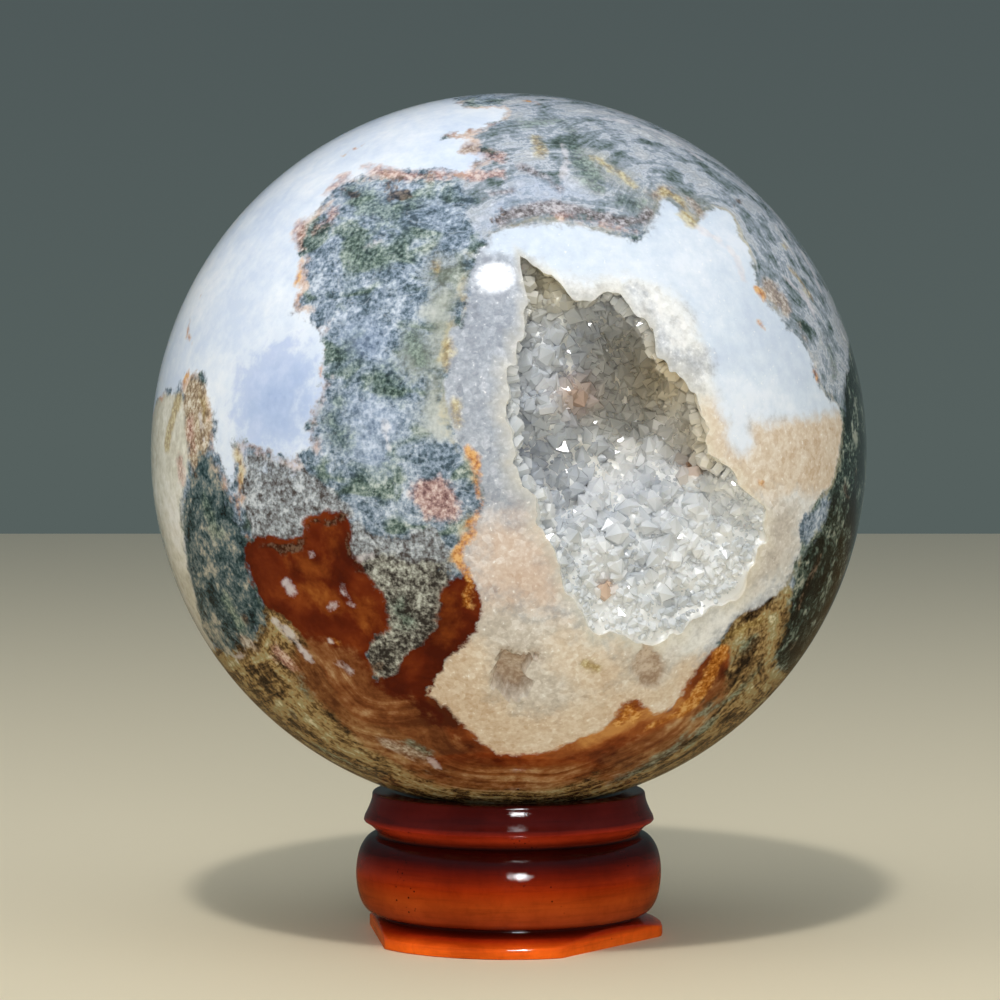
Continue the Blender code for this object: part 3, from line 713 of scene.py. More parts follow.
# The zones in the order they are painted: how far noise moves their edge, how soft it is and how far it
# is let out, in mm; their strength, the zone they stay within, the pattern they follow and its colours
layers = {
    "crown": dict(reach=1.4, soft=1.0, pattern="marbled", colours=(
        (0.39, "#35463f"), (0.43, "#5d6d69"), (0.465, "#87939b"), (0.50, "#a5aeb9"), (0.52, "#cdd2db"),
        (0.54, "#a9b0b7"), (0.57, "#c6c8cc"), (0.61, "#e4e7eb"))),
    "beige": dict(reach=0.8, soft=0.8, grow=0.6, pattern="clear", colours=(
        (0.42, "#d2cdbd"), (0.50, "#e8e5d8"), (0.58, "#f6f4ef"))),
    "tan": dict(reach=0.9, soft=0.35, grow=1.1, pattern="flowing", colours=(
        (0.41, "#261b10"), (0.45, "#54402a"), (0.485, "#80663f"), (0.515, "#b09465"), (0.55, "#9f966e"),
        (0.61, "#ddd3b2"))),
    "sand": dict(reach=0.7, soft=0.7, grow=0.3, pattern="fine", colours=(
        (0.42, "#86715c"), (0.47, "#a8937a"), (0.52, "#c5b49c"), (0.58, "#e2d9c9"))),
    "green": dict(reach=1.3, soft=0.6, grow=0.4, pattern="mottled", colours=(
        (0.41, "#16262a"), (0.46, "#33494d"), (0.49, "#4f6267"), (0.52, "#6f7b7c"), (0.55, "#93948a"),
        (0.59, "#b9b4a6"))),
    "deepGreen": dict(reach=1.0, soft=0.6, grow=0.3, pattern="mottled", colours=(
        (0.42, "#050808"), (0.47, "#131d1a"), (0.51, "#2a3933"), (0.545, "#5a685f"), (0.59, "#a5a99b"))),
    "lobes": dict(reach=0.9, soft=0.4, grow=0.4, pattern="fine", colours=(
        (0.41, "#524c4a"), (0.46, "#747477"), (0.50, "#8b9094"), (0.54, "#a3a9af"), (0.60, "#c9ced3"))),
    "darkMoss": dict(reach=0.9, soft=0.5, grow=0.7, pattern="fine", colours=(
        (0.42, "#35312e"), (0.47, "#605d57"), (0.51, "#83827a"), (0.55, "#9d9e94"), (0.60, "#c5c7be"))),
    "haze": dict(reach=1.2, soft=1.6, strength=0.7, pattern="glassy", colours=(
        (0.42, "#87907f"), (0.50, "#a4aaa0"), (0.58, "#c3c8c4"))),
    "olive": dict(reach=1.0, soft=1.2, strength=0.4, pattern="clear", colours=(
        (0.42, "#85877a"), (0.50, "#a1a294"), (0.58, "#c2c3b8"))),
    "quartz": dict(reach=0.7, soft=0.4, grow=0.2, pattern="sugar", colours=(
        (0.36, "#8b919b"), (0.46, "#9fa5b0"), (0.53, "#afb5bf"), (0.66, "#d8dbe2"))),
    "softWhite": dict(reach=1.5, soft=2.2, within="quartz", pattern="sugar", colours=(
        (0.36, "#d0cfcb"), (0.50, "#e8e8e6"), (0.66, "#f8f8f7"))),
    "warmWhite": dict(reach=1.5, soft=2.5, within="quartz", pattern="sugar", colours=(
        (0.36, "#b0a79c"), (0.50, "#cbc3b9"), (0.66, "#ebe7e2"))),
    "cream": dict(reach=1.3, soft=2.0, grow=1.3, within="quartz", pattern="sugar", colours=(
        (0.36, "#c5ab90"), (0.50, "#d9c8b3"), (0.66, "#eee6db"))),
    "pink": dict(reach=1.5, soft=3.0, strength=0.9, within="quartz", pattern="sugar", colours=(
        (0.36, "#ccae98"), (0.50, "#dac5b4"), (0.66, "#eee4dc"))),
    "milky": dict(reach=0.8, soft=1.3, within="quartz", pattern="clear", colours=(
        (0.40, "#c8d3e3"), (0.50, "#d5dfeb"), (0.60, "#e4eaf3"))),
    "rustBand": dict(reach=0.6, soft=0.4, grow=0.9, pattern="glassy", colours=(
        (0.40, "#4a1e0e"), (0.47, "#773818"), (0.53, "#9a582a"), (0.60, "#c68d50"))),
    "carnelian": dict(reach=0.6, soft=0.3, grow=0.8, pattern="glassy", colours=(
        (0.40, "#481509"), (0.47, "#5c1e0b"), (0.53, "#6e2b10"), (0.60, "#8a431a"))),
    "umber": dict(reach=1.2, soft=1.2, strength=0.85, pattern="banded", colours=(
        (0.42, "#5a2f18"), (0.47, "#744423"), (0.51, "#875530"), (0.55, "#9c7048"), (0.61, "#c0a07a"))),
    "white": dict(reach=0.9, soft=0.5, pattern="clear", colours=(
        (0.40, "#d0dbed"), (0.50, "#dfe7f3"), (0.60, "#eef2f9"))),
    "clearBlue": dict(reach=2.6, soft=2.2, strength=0.85, pattern="clear", colours=(
        (0.38, "#93a8d2"), (0.50, "#a8bbde"), (0.62, "#becbe8"))),
    "blueHaze": dict(reach=1.2, soft=1.8, strength=0.4, pattern="sugar", colours=(
        (0.38, "#8a9cc0"), (0.50, "#a8b8d4"), (0.62, "#c6d2e6"))),
    "pinkMarks": dict(reach=0.9, soft=0.7, strength=0.75, pattern="fine", colours=(
        (0.42, "#74463e"), (0.48, "#a3776b"), (0.53, "#c29b8d"), (0.60, "#e2cbc0"))),
    "greenMarks": dict(reach=1.2, soft=1.0, strength=0.7, pattern="moss", colours=(
        (0.41, "#14201b"), (0.47, "#30443b"), (0.52, "#586d61"), (0.60, "#8fa295"))),
    "bandMarks": dict(reach=0.5, soft=0.5, strength=0.9, pattern="fine", colours=(
        (0.42, "#4a403d"), (0.48, "#766e6e"), (0.53, "#979296"), (0.60, "#c4c0c4"))),
    "amberMarks": dict(reach=1.0, soft=1.4, strength=0.6, pattern="glassy", colours=(
        (0.42, "#7c3a14"), (0.50, "#95501e"), (0.58, "#b0702e"))),
    "dunMarks": dict(reach=0.9, soft=0.8, strength=0.8, pattern="fine", colours=(
        (0.42, "#6f5c4c"), (0.48, "#917d6b"), (0.53, "#a9998a"), (0.60, "#cfc4b8"))),
    "darkMarks": dict(reach=0.6, soft=0.35, strength=0.85, pattern="fine", colours=(
        (0.42, "#0d0906"), (0.50, "#2e2018"), (0.58, "#6b5645"))),
    "ochreMarks": dict(reach=0.6, soft=0.6, strength=0.75, pattern="moss", colours=(
        (0.42, "#7d6230"), (0.50, "#aa9258"), (0.58, "#d6ca9c"))),
    "orangeMarks": dict(reach=0.6, soft=0.45, strength=0.9, pattern="moss", colours=(
        (0.43, "#8a4a12"), (0.50, "#c07c30"), (0.57, "#dfae6a"))),
    "paleMarks": dict(reach=0.5, soft=0.35, strength=0.65, pattern="clear", colours=(
        (0.42, "#c3bcc0"), (0.50, "#d6d1d6"), (0.58, "#eae7ea"))),
}


def polishedAgate():
    material, tree = newMaterial("polishedMossAgate")
    place = addNode(tree, "TexCoord")["Object"]
    values, fields = {}, {}
    for name, (spacing, detail, roughness, distortion, stretch) in agateLook["noises"].items():
        inMm = addNode(tree, "Mapping", {"Scale": [along / mm for along in stretch]}, {"Vector": place})[0]
        values[name] = addNode(tree, "TexNoise", {
            "Scale": 1 / spacing, "Detail": detail, "Roughness": roughness, "Distortion": distortion},
            {"Vector": inMm})["Fac"]
    for name in [*layers, "cavityDepth", "hollow", "rimGap"]:
        fields[name] = addNode(tree, "Attribute", {"attribute_name": name})["Fac"]
    slow = addNode(tree, "Mapping", {"Scale": (agateLook["streakDrift"] / mm,) * 3}, {"Vector": place})[0]
    for name, (zone, width) in agateLook["streaks"].items():
        # noise that changes fast with the distance to the zone's edge and slowly along it
        across = addNode(tree, "CombineXYZ", {}, {"X": fields[zone]})[0]
        across = addNode(tree, "VectorMath", {"operation": "ADD"}, {0: slow, 1: across})[0]
        values[name] = addNode(tree, "TexNoise", {"Scale": 1 / width, **agateLook["streakNoise"]},
                               {"Vector": across})["Fac"]
    inMm = addNode(tree, "Mapping", {"Scale": (1 / mm,) * 3}, {"Vector": place})[0]
    cells = addNode(tree, "TexVoronoi", {"Scale": 1 / agateLook["cellSize"]}, {"Vector": inMm})["Color"]
    values["cells"] = addNode(tree, "RGBToBW", {}, {"Color": cells})[0]
    for name, shares in {**agateLook["patterns"], "edgeShift": agateLook["edgeShift"]}.items():
        total = None
        for part, share in shares.items():
            total = addNode(tree, "Math", {"operation": "MULTIPLY_ADD", 1: share, 2: 0.0},
                            {0: values[part], 2: total} if total else {0: values[part]})[0]
        values[name] = total
    shift = addNode(tree, "MapRange", {
        "From Min": 0.38, "From Max": 0.62, "To Min": -1, "To Max": 1, "clamp": False},
        {"Value": values["edgeShift"]})[0]

    # moss: blue-grey and green felt with pale threads, as fine inclusions in clear stone
    colours = {}
    for name in ("blueMoss", "greenMoss"):
        colours[name] = addNode(tree, "ValToRGB", {"stops": agateLook[name]}, {"Fac": values["moss"]})[0]
    greener = addNode(tree, "MapRange", {"From Min": 0.50, "From Max": 0.60, "To Max": 0.8},
                      {"Value": values["swirl"]})[0]
    colour = addNode(tree, "Mix", {"data_type": "RGBA"},
                     {0: greener, 6: colours["blueMoss"], 7: colours["greenMoss"]})[2]
    for name, value, halfWidth, strength in agateLook["threads"]:
        offLine = addNode(tree, "Math", {"operation": "SUBTRACT", 1: value}, {0: values[name]})[0]
        offLine = addNode(tree, "Math", {"operation": "ABSOLUTE"}, {0: offLine})[0]
        thread = addNode(tree, "MapRange", {"From Max": halfWidth, "To Min": strength, "To Max": 0.0},
                         {"Value": offLine})[0]
        colour = addNode(tree, "Mix", {"data_type": "RGBA", 7: linearColour(agateLook["threadColour"])},
                         {0: thread, 6: colour})[2]

    masks = {}
    mottling = addNode(tree, "MapRange", {"From Min": 0.35, "From Max": 0.65, "To Min": 0.84},
                       {"Value": values["fine"]})[0]
    for zone, look in layers.items():
        if zone == "quartz":
            # the opaque stone is finely mottled, the quartz and whites painted over it aren't
            colour = addNode(tree, "VectorMath", {"operation": "SCALE"}, {0: colour, "Scale": mottling})[0]
        if zone == "rustBand":
            # painted glints: bright specks in the sugary quartz, painted highlights that stand in for light
            # caught by single crystals
            paintedGlint = addNode(tree, "MapRange", {"From Min": 0.66, "From Max": 0.74, "To Max": 0.55},
                            {"Value": values["speck"]})[0]
            paintedGlint = addNode(tree, "Math", {"operation": "MULTIPLY"}, {0: paintedGlint, 1: masks["quartz"]})[0]
            colour = addNode(tree, "Mix", {"data_type": "RGBA", 7: linearColour(agateLook["paintedGlintColour"])},
                             {0: paintedGlint, 6: colour})[2]
        edge = addNode(tree, "Math", {"operation": "MULTIPLY_ADD", 1: look["reach"]},
                       {0: shift, 2: fields[zone]})[0]
        grow, soft = look.get("grow", 0.0), look["soft"]
        mask = addNode(tree, "MapRange", {
            "interpolation_type": "SMOOTHSTEP", "From Min": -soft - grow, "From Max": soft - grow,
            "To Max": look.get("strength", 1.0)}, {"Value": edge})[0]
        if "within" in look:
            mask = addNode(tree, "Math", {"operation": "MULTIPLY"}, {0: mask, 1: masks[look["within"]]})[0]
        masks[zone] = mask
        shade = addNode(tree, "ValToRGB", {"stops": look["colours"]}, {"Fac": values[look["pattern"]]})[0]
        if zone in agateLook["fringes"]:
            # a broken fringe just outside, peach along the white and olive along the quartz
            fringe = addNode(tree, "MapRange", {
                "interpolation_type": "SMOOTHSTEP", "From Min": -1.5, "From Max": -0.5}, {"Value": edge})[0]
            broken = addNode(tree, "MapRange", {"From Min": 0.44, "From Max": 0.60, "To Max": 0.75},
                             {"Value": values["patch"]})[0]
            fringe = addNode(tree, "Math", {"operation": "MULTIPLY"}, {0: fringe, 1: broken})[0]
            darker, paler = agateLook["fringes"][zone]
            trim = addNode(tree, "ValToRGB", {"stops": ((0.45, darker), (0.55, paler))},
                           {"Fac": values["clear"]})[0]
            colour = addNode(tree, "Mix", {"data_type": "RGBA"}, {0: fringe, 6: colour, 7: trim})[2]
        colour = addNode(tree, "Mix", {"data_type": "RGBA"}, {0: mask, 6: colour, 7: shade})[2]

    # the quartz is paler along the cavity's rim
    ragged = addNode(tree, "Math", {"operation": "MULTIPLY_ADD", 1: 0.5}, {0: shift, 2: fields["rimGap"]})[0]
    lipWidth, lipStrength, lipColour = agateLook["lip"]
    lip = addNode(tree, "MapRange", {"From Min": lipWidth, "From Max": 0.0, "To Max": lipStrength},
                  {"Value": ragged})[0]
    colour = addNode(tree, "Mix", {"data_type": "RGBA", 7: linearColour(lipColour)}, {0: lip, 6: colour})[2]

    # the cavity's wall: milky quartz with its stains, warmer and paler where it goes deep, the paleness
    # painted light in the deep hole, and the hollows in tan
    down = fields["cavityDepth"]
    inside = addNode(tree, "MapRange", {"From Min": 0.02, "From Max": 0.3}, {"Value": down})[0]
    deep = addNode(tree, "MapRange", {"From Max": agateLook["wallDepth"]}, {"Value": down})[0]
    wall = stained(tree, addNode(tree, "ValToRGB", {"stops": agateLook["wall"]}, {"Fac": deep})[0])
    colour = addNode(tree, "Mix", {"data_type": "RGBA"}, {0: inside, 6: colour, 7: wall})[2]
    brown = addNode(tree, "ValToRGB", {"stops": agateLook["hollowColours"]}, {"Fac": values["moss"]})[0]
    colour = addNode(tree, "Mix", {"data_type": "RGBA"}, {0: fields["hollow"], 6: colour, 7: brown})[2]

    # polish: glossy all over, a touch duller in the grain and rough inside the cavity
    rough = addNode(tree, "MapRange", {"From Min": 0.4, "From Max": 0.6, "To Min": 0.06, "To Max": 0.11},
                    {"Value": values["moss"]})[0]
    rough = addNode(tree, "Mix", {3: 0.35}, {0: inside, 2: rough})[0]
    shader = addNode(tree, "BsdfPrincipled", {
        "IOR": 1.54, "Subsurface Weight": 0.3, "Subsurface Radius": (1.0, 0.85, 0.75),
        "Subsurface Scale": 0.0015,
    }, {"Base Color": colour, "Roughness": rough})[0]
    addNode(tree, "OutputMaterial", {}, {"Surface": shader})
    return material


# Quartz crystals: six-sided prisms with six-sided points, crowded on the cavity's wall

druse = {
    "count": 6500, "seed": 11, "tries": 60000,
    "from": 0.02,                   # share of the way over the floor where the first tries lie
    "step": (0.6, 0.01),            # degrees round and share up, between which the wall's slope is taken
    "areaPercentile": 97,           # of the areas of the tries, above which every try is kept
    "radius": (0.34, 1.35),         # mm, from the smallest near the rim to the largest on the floor
    "standOut": (-0.95, 0.15),      # prism above the wall, as a share of its radius
    "gentleSink": 0.05,             # deeper by this share of the radius on the gentle slope
    "shallowSize": 0.4, "fullSizeDepth": 5,     # share of full size at the rim, and mm down to full size
    "point": (0.75, 1.25),          # height of the point over the prism's radius
    "faceJitter": 0.16,             # radians that a face turns out of its place
    "width": (0.82, 1.12), "footWidth": 0.9,    # of a prism's corners, and of its sunk end, over its radius
    "shoulderJitter": 0.2, "tipJitter": 0.4,    # over the radius
    "root": 1.4,                    # mm sunk in the wall
    "lean": 0.5,                    # sideways share of a crystal's direction
    "spacing": 0.40,                # least distance between neighbours over the sum of their radii
    "steepStart": 2.2, "gentleStart": 0.5,      # depth of the first crystals under the polished face, mm
    "keepIn": 0.015,                # mm that cut crystals lie below the polished face
    # the gentle slope's share paints the crystals whiter there, as painted light on the lower slope
    "tintNoise": ((3.5, 0.5), (0.9, 0.25)), "gentleSlopeLight": 0.35,     # spacing in mm and share
    # the milky root is partly real and partly painted light against the shade between crystals
    "tintAlong": (0.5, 0.1, -0.3),  # milky at the root, through the shoulder, to clear at the tip
    # colours from clear to milky, and the painted shade by depth they are multiplied by from 2 mm down to the
    # deepest, slight and warmer deep down
    "clarity": ((0.0, "#b9bec6"), (0.5, "#d8dce1"), (1.0, "#fbfcfe")),
    "dusk": ((0.0, "#fbfbf8"), (0.25, "#eceef1"), (0.6, "#faf7ee"), (1.0, "#fbf6e8")), "duskFrom": 2.0,
}


def crystalSites(rng):
    # throws places evenly over the wall, largest first, and keeps those that clear their neighbours
    tries = druse["tries"]
    bearing = rng.uniform(0, 360, tries)
    t = rng.uniform(druse["from"], 1.0, tries)
    place = cavityPoints(bearing, t)
    turnStep, upStep = druse["step"]
    alongBearing = cavityPoints(bearing + turnStep, t) - cavityPoints(bearing - turnStep, t)
    alongT = cavityPoints(bearing, np.minimum(t + upStep, 1)) - cavityPoints(bearing, t - upStep)
    cross = np.cross(alongBearing, alongT)
    area = np.linalg.norm(cross, axis=1)
    depth = stoneRadius - np.linalg.norm(place, axis=1)
    gentle = gentleness(bearing)
    start = druse["steepStart"] + (druse["gentleStart"] - druse["steepStart"]) * gentle
    keep = (rng.uniform(0, np.percentile(area, druse["areaPercentile"]), tries) < area) & (depth > start)
    place, cross, depth, gentle = place[keep], cross[keep], depth[keep], gentle[keep]
    normal = unit(cross)
    normal *= np.where(normal[:, 1:2] > 0, -1, 1)       # towards the open
    small, large = druse["radius"]
    shallow = druse["shallowSize"]
    full = shallow + (1 - shallow) * ease(depth / druse["fullSizeDepth"])
    size = full * rng.uniform(0.0, 1.0, len(place)) ** 2.0
    radius = small + (large - small) * size
    order = np.argsort(-radius)
    chosen = []
    for i in order:
        if len(chosen) == druse["count"]:
            break
        if chosen:
            gap = np.linalg.norm(place[chosen] - place[i], axis=1)
            if (gap < druse["spacing"] * (radius[chosen] + radius[i])).any():
                continue
        chosen.append(i)
    return place[chosen], normal[chosen], radius[chosen], gentle[chosen]


def dressCrystals(material):
    # each crystal: six corners sunk in the wall, six at its shoulder along the axis, and the tip
    rng = np.random.default_rng(druse["seed"])
    place, normal, radius, gentle = crystalSites(rng)
    count = len(place)
    axis = unit(normal + druse["lean"] * rng.uniform(-1, 1, (count, 3)))
    side = unit(np.cross(axis, unit(rng.normal(size=(count, 3)))))
    other = np.cross(axis, side)
    jitter = druse["faceJitter"]
    turn = np.arange(6) * math.pi / 3 + rng.uniform(-jitter, jitter, (count, 6))    # faces of unlike width
    spoke = side[:, None] * np.cos(turn)[..., None] + other[:, None] * np.sin(turn)[..., None]
    wide = radius[:, None] * rng.uniform(*druse["width"], (count, 6))
    standing = rng.uniform(*druse["standOut"], count) - druse["gentleSink"] * gentle
    shoulder = place + axis * (radius * standing)[:, None]
    low = place[:, None] - axis[:, None] * druse["root"] + spoke * wide[..., None] * druse["footWidth"]
    jitter = druse["shoulderJitter"]
    high = shoulder[:, None] + spoke * wide[..., None] + axis[:, None] * (
        radius[:, None] * rng.uniform(-jitter, jitter, (count, 6)))[..., None]
    tip = (shoulder + axis * (radius * rng.uniform(*druse["point"], count))[:, None]
           + spoke[:, 0] * (radius * rng.uniform(0, druse["tipJitter"], count))[:, None])
    points = np.concatenate([low, high, tip[:, None]], axis=1)
    reach = np.linalg.norm(points, axis=2, keepdims=True)
    limit = stoneRadius - druse["keepIn"]
    points = np.where(reach > limit, points * limit / reach, points)        # ground off with the stone
    noises = [latticeNoise(place, spacing, seeds["tint"] + number)
              for number, (spacing, _) in enumerate(druse["tintNoise"])]
    tint = np.stack(noises, axis=1) @ [share for _, share in druse["tintNoise"]]
    depth = stoneRadius - np.linalg.norm(place, axis=1)
    atRoot, atShoulder, atTip = druse["tintAlong"]
    tintAlong = np.array([atRoot] * 6 + [atShoulder] * 6 + [atTip])
    # painted light: whiter on the gentle lower slope, and whiter towards each crystal's root
    tint = (tint + druse["gentleSlopeLight"] * gentle)[:, None] + tintAlong
    start = np.arange(count)[:, None, None] * 13
    ring = np.arange(6)
    after = (ring + 1) % 6
    sides = (start + np.stack([ring, after, after + 6, ring + 6], axis=1)).reshape(-1, 4)
    caps = (start + np.stack([ring + 6, after + 6, np.full(6, 12)], axis=1)).reshape(-1, 3)
    bases = (start[:, 0] + ring[::-1]).reshape(-1, 6)
    mesh = bpy.data.meshes.new("quartz_druse")
    mesh.from_pydata(((points.reshape(-1, 3) + stoneCentre) * mm).tolist(), [],
                     sides.tolist() + caps.tolist() + bases.tolist())
    for name, values in {"tint": tint, "depth": depth, **stainFields(place)}.items():
        values = np.broadcast_to(values.reshape(count, -1), (count, 13)).ravel()
        mesh.attributes.new(name, "FLOAT", "POINT").data.foreach_set("value", values.astype(np.float32))
    print(f"crystals: {count}")
    return finishedObject("quartz_druse", mesh, material)


# Rock crystal to milky quartz, grown and never cut: flat bright faces, partly see-through

def quartzCrystal():
    material, tree = newMaterial("quartzCrystal")
    tint = addNode(tree, "Attribute", {"attribute_name": "tint"})["Fac"]
    depth = addNode(tree, "Attribute", {"attribute_name": "depth"})["Fac"]
    deep = addNode(tree, "MapRange", {"From Min": druse["duskFrom"], "From Max": agateLook["wallDepth"]},
                   {"Value": depth})[0]
    milky = addNode(tree, "MapRange", {"From Min": -0.6, "From Max": 0.6}, {"Value": tint})[0]
    colour = addNode(tree, "ValToRGB", {"stops": druse["clarity"]}, {"Fac": milky})[0]
    dusk = addNode(tree, "ValToRGB", {"stops": druse["dusk"]}, {"Fac": deep})[0]
    colour = addNode(tree, "Mix", {"data_type": "RGBA", "blend_type": "MULTIPLY", 0: 1.0},
                     {6: colour, 7: dusk})[2]
    colour = stained(tree, colour)
    shader = addNode(tree, "BsdfPrincipled", {
        "IOR": 1.544, "Roughness": 0.08, "Transmission Weight": 0.2,
        "Subsurface Weight": 0.15, "Subsurface Radius": (1.0, 1.0, 1.0), "Subsurface Scale": 0.0008,
    }, {"Base Color": colour})[0]
    addNode(tree, "OutputMaterial", {}, {"Surface": shader})
    return material


# The stand, turned from one block: outside from the foot up, then down through the seat to the pocket

stand = {
    "columns": 220,
    "flats": ((188, 16.8), (321, 16.4), (75, 16.6)),    # bearing, distance from the axis in mm
    "flatsBelow": 2.8,          # height up to which the flats cut the foot
    "flatsRows": 60,            # points of the profile, from the underside up, that they may cut
    "flatsCosine": 0.2,         # least cosine of the angle off a flat's bearing at which it cuts
    "innermost": 0.6,           # radius of the profile's first and last ring
    "seatClearance": 0.3, "seatOuter": 14.7, "seatInner": 11.2, "pocketFloor": 7.0, "pocketDraft": 0.4,
    # radius and height
    "foot": ((19.2, 0), (19.42, 0.08), (19.5, 0.3), (19.5, 1.1), (19.42, 1.32), (19.2, 1.45)),
    "groove": ((16.1, 2.55), (16.0, 2.7), (16.0, 2.95), (16.3, 3.12), (17.0, 3.18), (17.2, 3.2)),
    "belly": (17.2, 19.35, 16.7, 3.2, 12.9, 2.1),       # bottom, widest and top radius, heights, fullness
    "neck": ((16.7, 12.9), (16.68, 13.1), (16.7, 13.3), (17.6, 14.2), (18.3, 14.6), (18.4, 14.75)),
    "collar": (18.4, 15.0, 17.3, 17.9, 1.6),            # lip radius and height, rim radius and height, hollow
    "unevenness": ((7.0, 0.05), (1.6, 0.018)),          # spacing and height of the brushed lacquer's waves
    "unevenWithin": (0.3, 0.5, 15.5),                   # mm over the underside, under the top, off the axis
    "sharpAngle": 35,                                   # degrees
    "steps": {"underside": 12, "groove": 8, "belly": 30, "collar": 14, "lip": 4, "seat": 10, "pocket": 10,
              "pocketFloor": 8},
    # the stain's colours with painted light and shade, from the underside to the top as shares of the height:
    # the foot brighter as painted light, and painted shade in the groove, over the belly's top, on the neck
    # and on the collar under the stone
    "stainLightAndShade": ((0.0, "#ff7420"), (0.07, "#fa6418"), (0.105, "#b8300e"), (0.145, "#3a0b06"),
              (0.175, "#4a1006"), (0.22, "#9c401c"), (0.34, "#ac4616"), (0.45, "#a43008"),
              (0.55, "#721a08"), (0.62, "#3c0806"), (0.71, "#2c0504"), (0.77, "#b83c1c"),
              (0.81, "#a02c16"), (0.84, "#5c1610"), (1.0, "#4c100c")),
    "poreColour": "#2a0604",
}


def arcTowards(start, end, steps, bend):
    # from start to end, bulging sideways by bend mm at the middle
    start, end = np.array(start, float), np.array(end, float)
    t = np.arange(1, steps + 1)[:, None] / steps
    across = np.array([end[1] - start[1], start[0] - end[0]]) / np.linalg.norm(end - start)
    return start + (end - start) * t + across * bend * np.sin(np.pi * t)


def standProfile():
    # radius and height, from the underside's middle up the outside and down into the pocket
    steps = stand["steps"]
    parts = [arcTowards((stand["innermost"], 0), stand["foot"][0], steps["underside"], 0)]
    parts.append(np.array(stand["foot"][1:]))
    parts.append(arcTowards(stand["foot"][-1], stand["groove"][0], steps["groove"], 0))
    parts.append(np.array(stand["groove"][1:]))
    bottom, widest, top, low, high, fullness = stand["belly"]
    up = -np.cos(np.pi * np.arange(1, steps["belly"] + 1) / steps["belly"])
    bulge = np.maximum(1 - np.abs(up) ** fullness, 0) ** (1 / fullness)
    inner = np.where(up > 0, top, bottom)
    out = inner + (widest - inner) * bulge
    parts.append(np.stack([out, (low + high) / 2 + (high - low) / 2 * up], axis=1))
    parts.append(np.array(stand["neck"][1:]))
    lip, lipHeight, rim, rimHeight, hollow = stand["collar"]
    t = np.arange(1, steps["collar"] + 1) / steps["collar"]
    out = rim + (lip - rim) * (1 - t) ** hollow
    parts.append(np.stack([out, lipHeight + (rimHeight - lipHeight) * t], axis=1))
    turn = np.radians(np.arange(15, 91, 15))
    rounding = standHeight - rimHeight
    out = rim - rounding + rounding * np.cos(turn)
    parts.append(np.stack([out, rimHeight + rounding * np.sin(turn)], axis=1))
    seatSphere = stoneRadius + stand["seatClearance"]
    seat = np.linspace(stand["seatOuter"], stand["seatInner"], steps["seat"])
    parts.append(arcTowards(parts[-1][-1], (stand["seatOuter"] + 0.1, standHeight), steps["lip"], 0))
    parts.append(np.stack([seat, stoneCentre[2] - np.sqrt(seatSphere ** 2 - seat ** 2)], axis=1))
    foot = (stand["seatInner"] - stand["pocketDraft"], stand["pocketFloor"])
    parts.append(arcTowards(parts[-1][-1], foot, steps["pocket"], 0))
    parts.append(arcTowards(foot, (stand["innermost"], stand["pocketFloor"]), steps["pocketFloor"], 0))
    return np.vstack(parts)


def dressStand(material):
    # the profile turned about the axis, its foot cut by three flats
    profile = standProfile()
    bearing = np.arange(stand["columns"]) * 2 * math.pi / stand["columns"]
    radius = np.repeat(profile[:, :1], len(bearing), axis=1)
    height = np.repeat(profile[:, 1:], len(bearing), axis=1)
    footRows = (height < stand["flatsBelow"]) & (np.arange(len(profile)) < stand["flatsRows"])[:, None]
    cosine = stand["flatsCosine"]
    for at, distance in stand["flats"]:
        facing = np.cos(bearing - math.radians(at))
        limit = np.where(facing > cosine, distance / np.maximum(facing, cosine), np.inf)
        radius = np.where(footRows, np.minimum(radius, limit), radius)
    rings = np.stack([radius * np.cos(bearing), radius * np.sin(bearing), height], axis=2)
    outward = np.stack([np.cos(bearing), np.sin(bearing), 0 * bearing], axis=1)
    shape = rings.shape
    overFoot, underTop, outside = stand["unevenWithin"]
    inBody = ((height > overFoot) & (height < standHeight - underTop) & (radius > outside)).ravel()
    flat = rings.reshape(-1, 3)
    for number, (spacing, waves) in enumerate(stand["unevenness"]):
        lift = waves * latticeNoise(flat, spacing, seeds["lacquer"] + number) * inBody
        flat = flat + lift[:, None] * np.tile(outward, (len(profile), 1))
    rings = flat.reshape(shape)
    piece = ringSurface("lacquered_stand", rings, (0, 0, 0), (0, 0, stand["pocketFloor"]), material)
    piece.data.shade_smooth()
    piece.data.set_sharp_from_angle(angle=math.radians(stand["sharpAngle"]))
    return piece
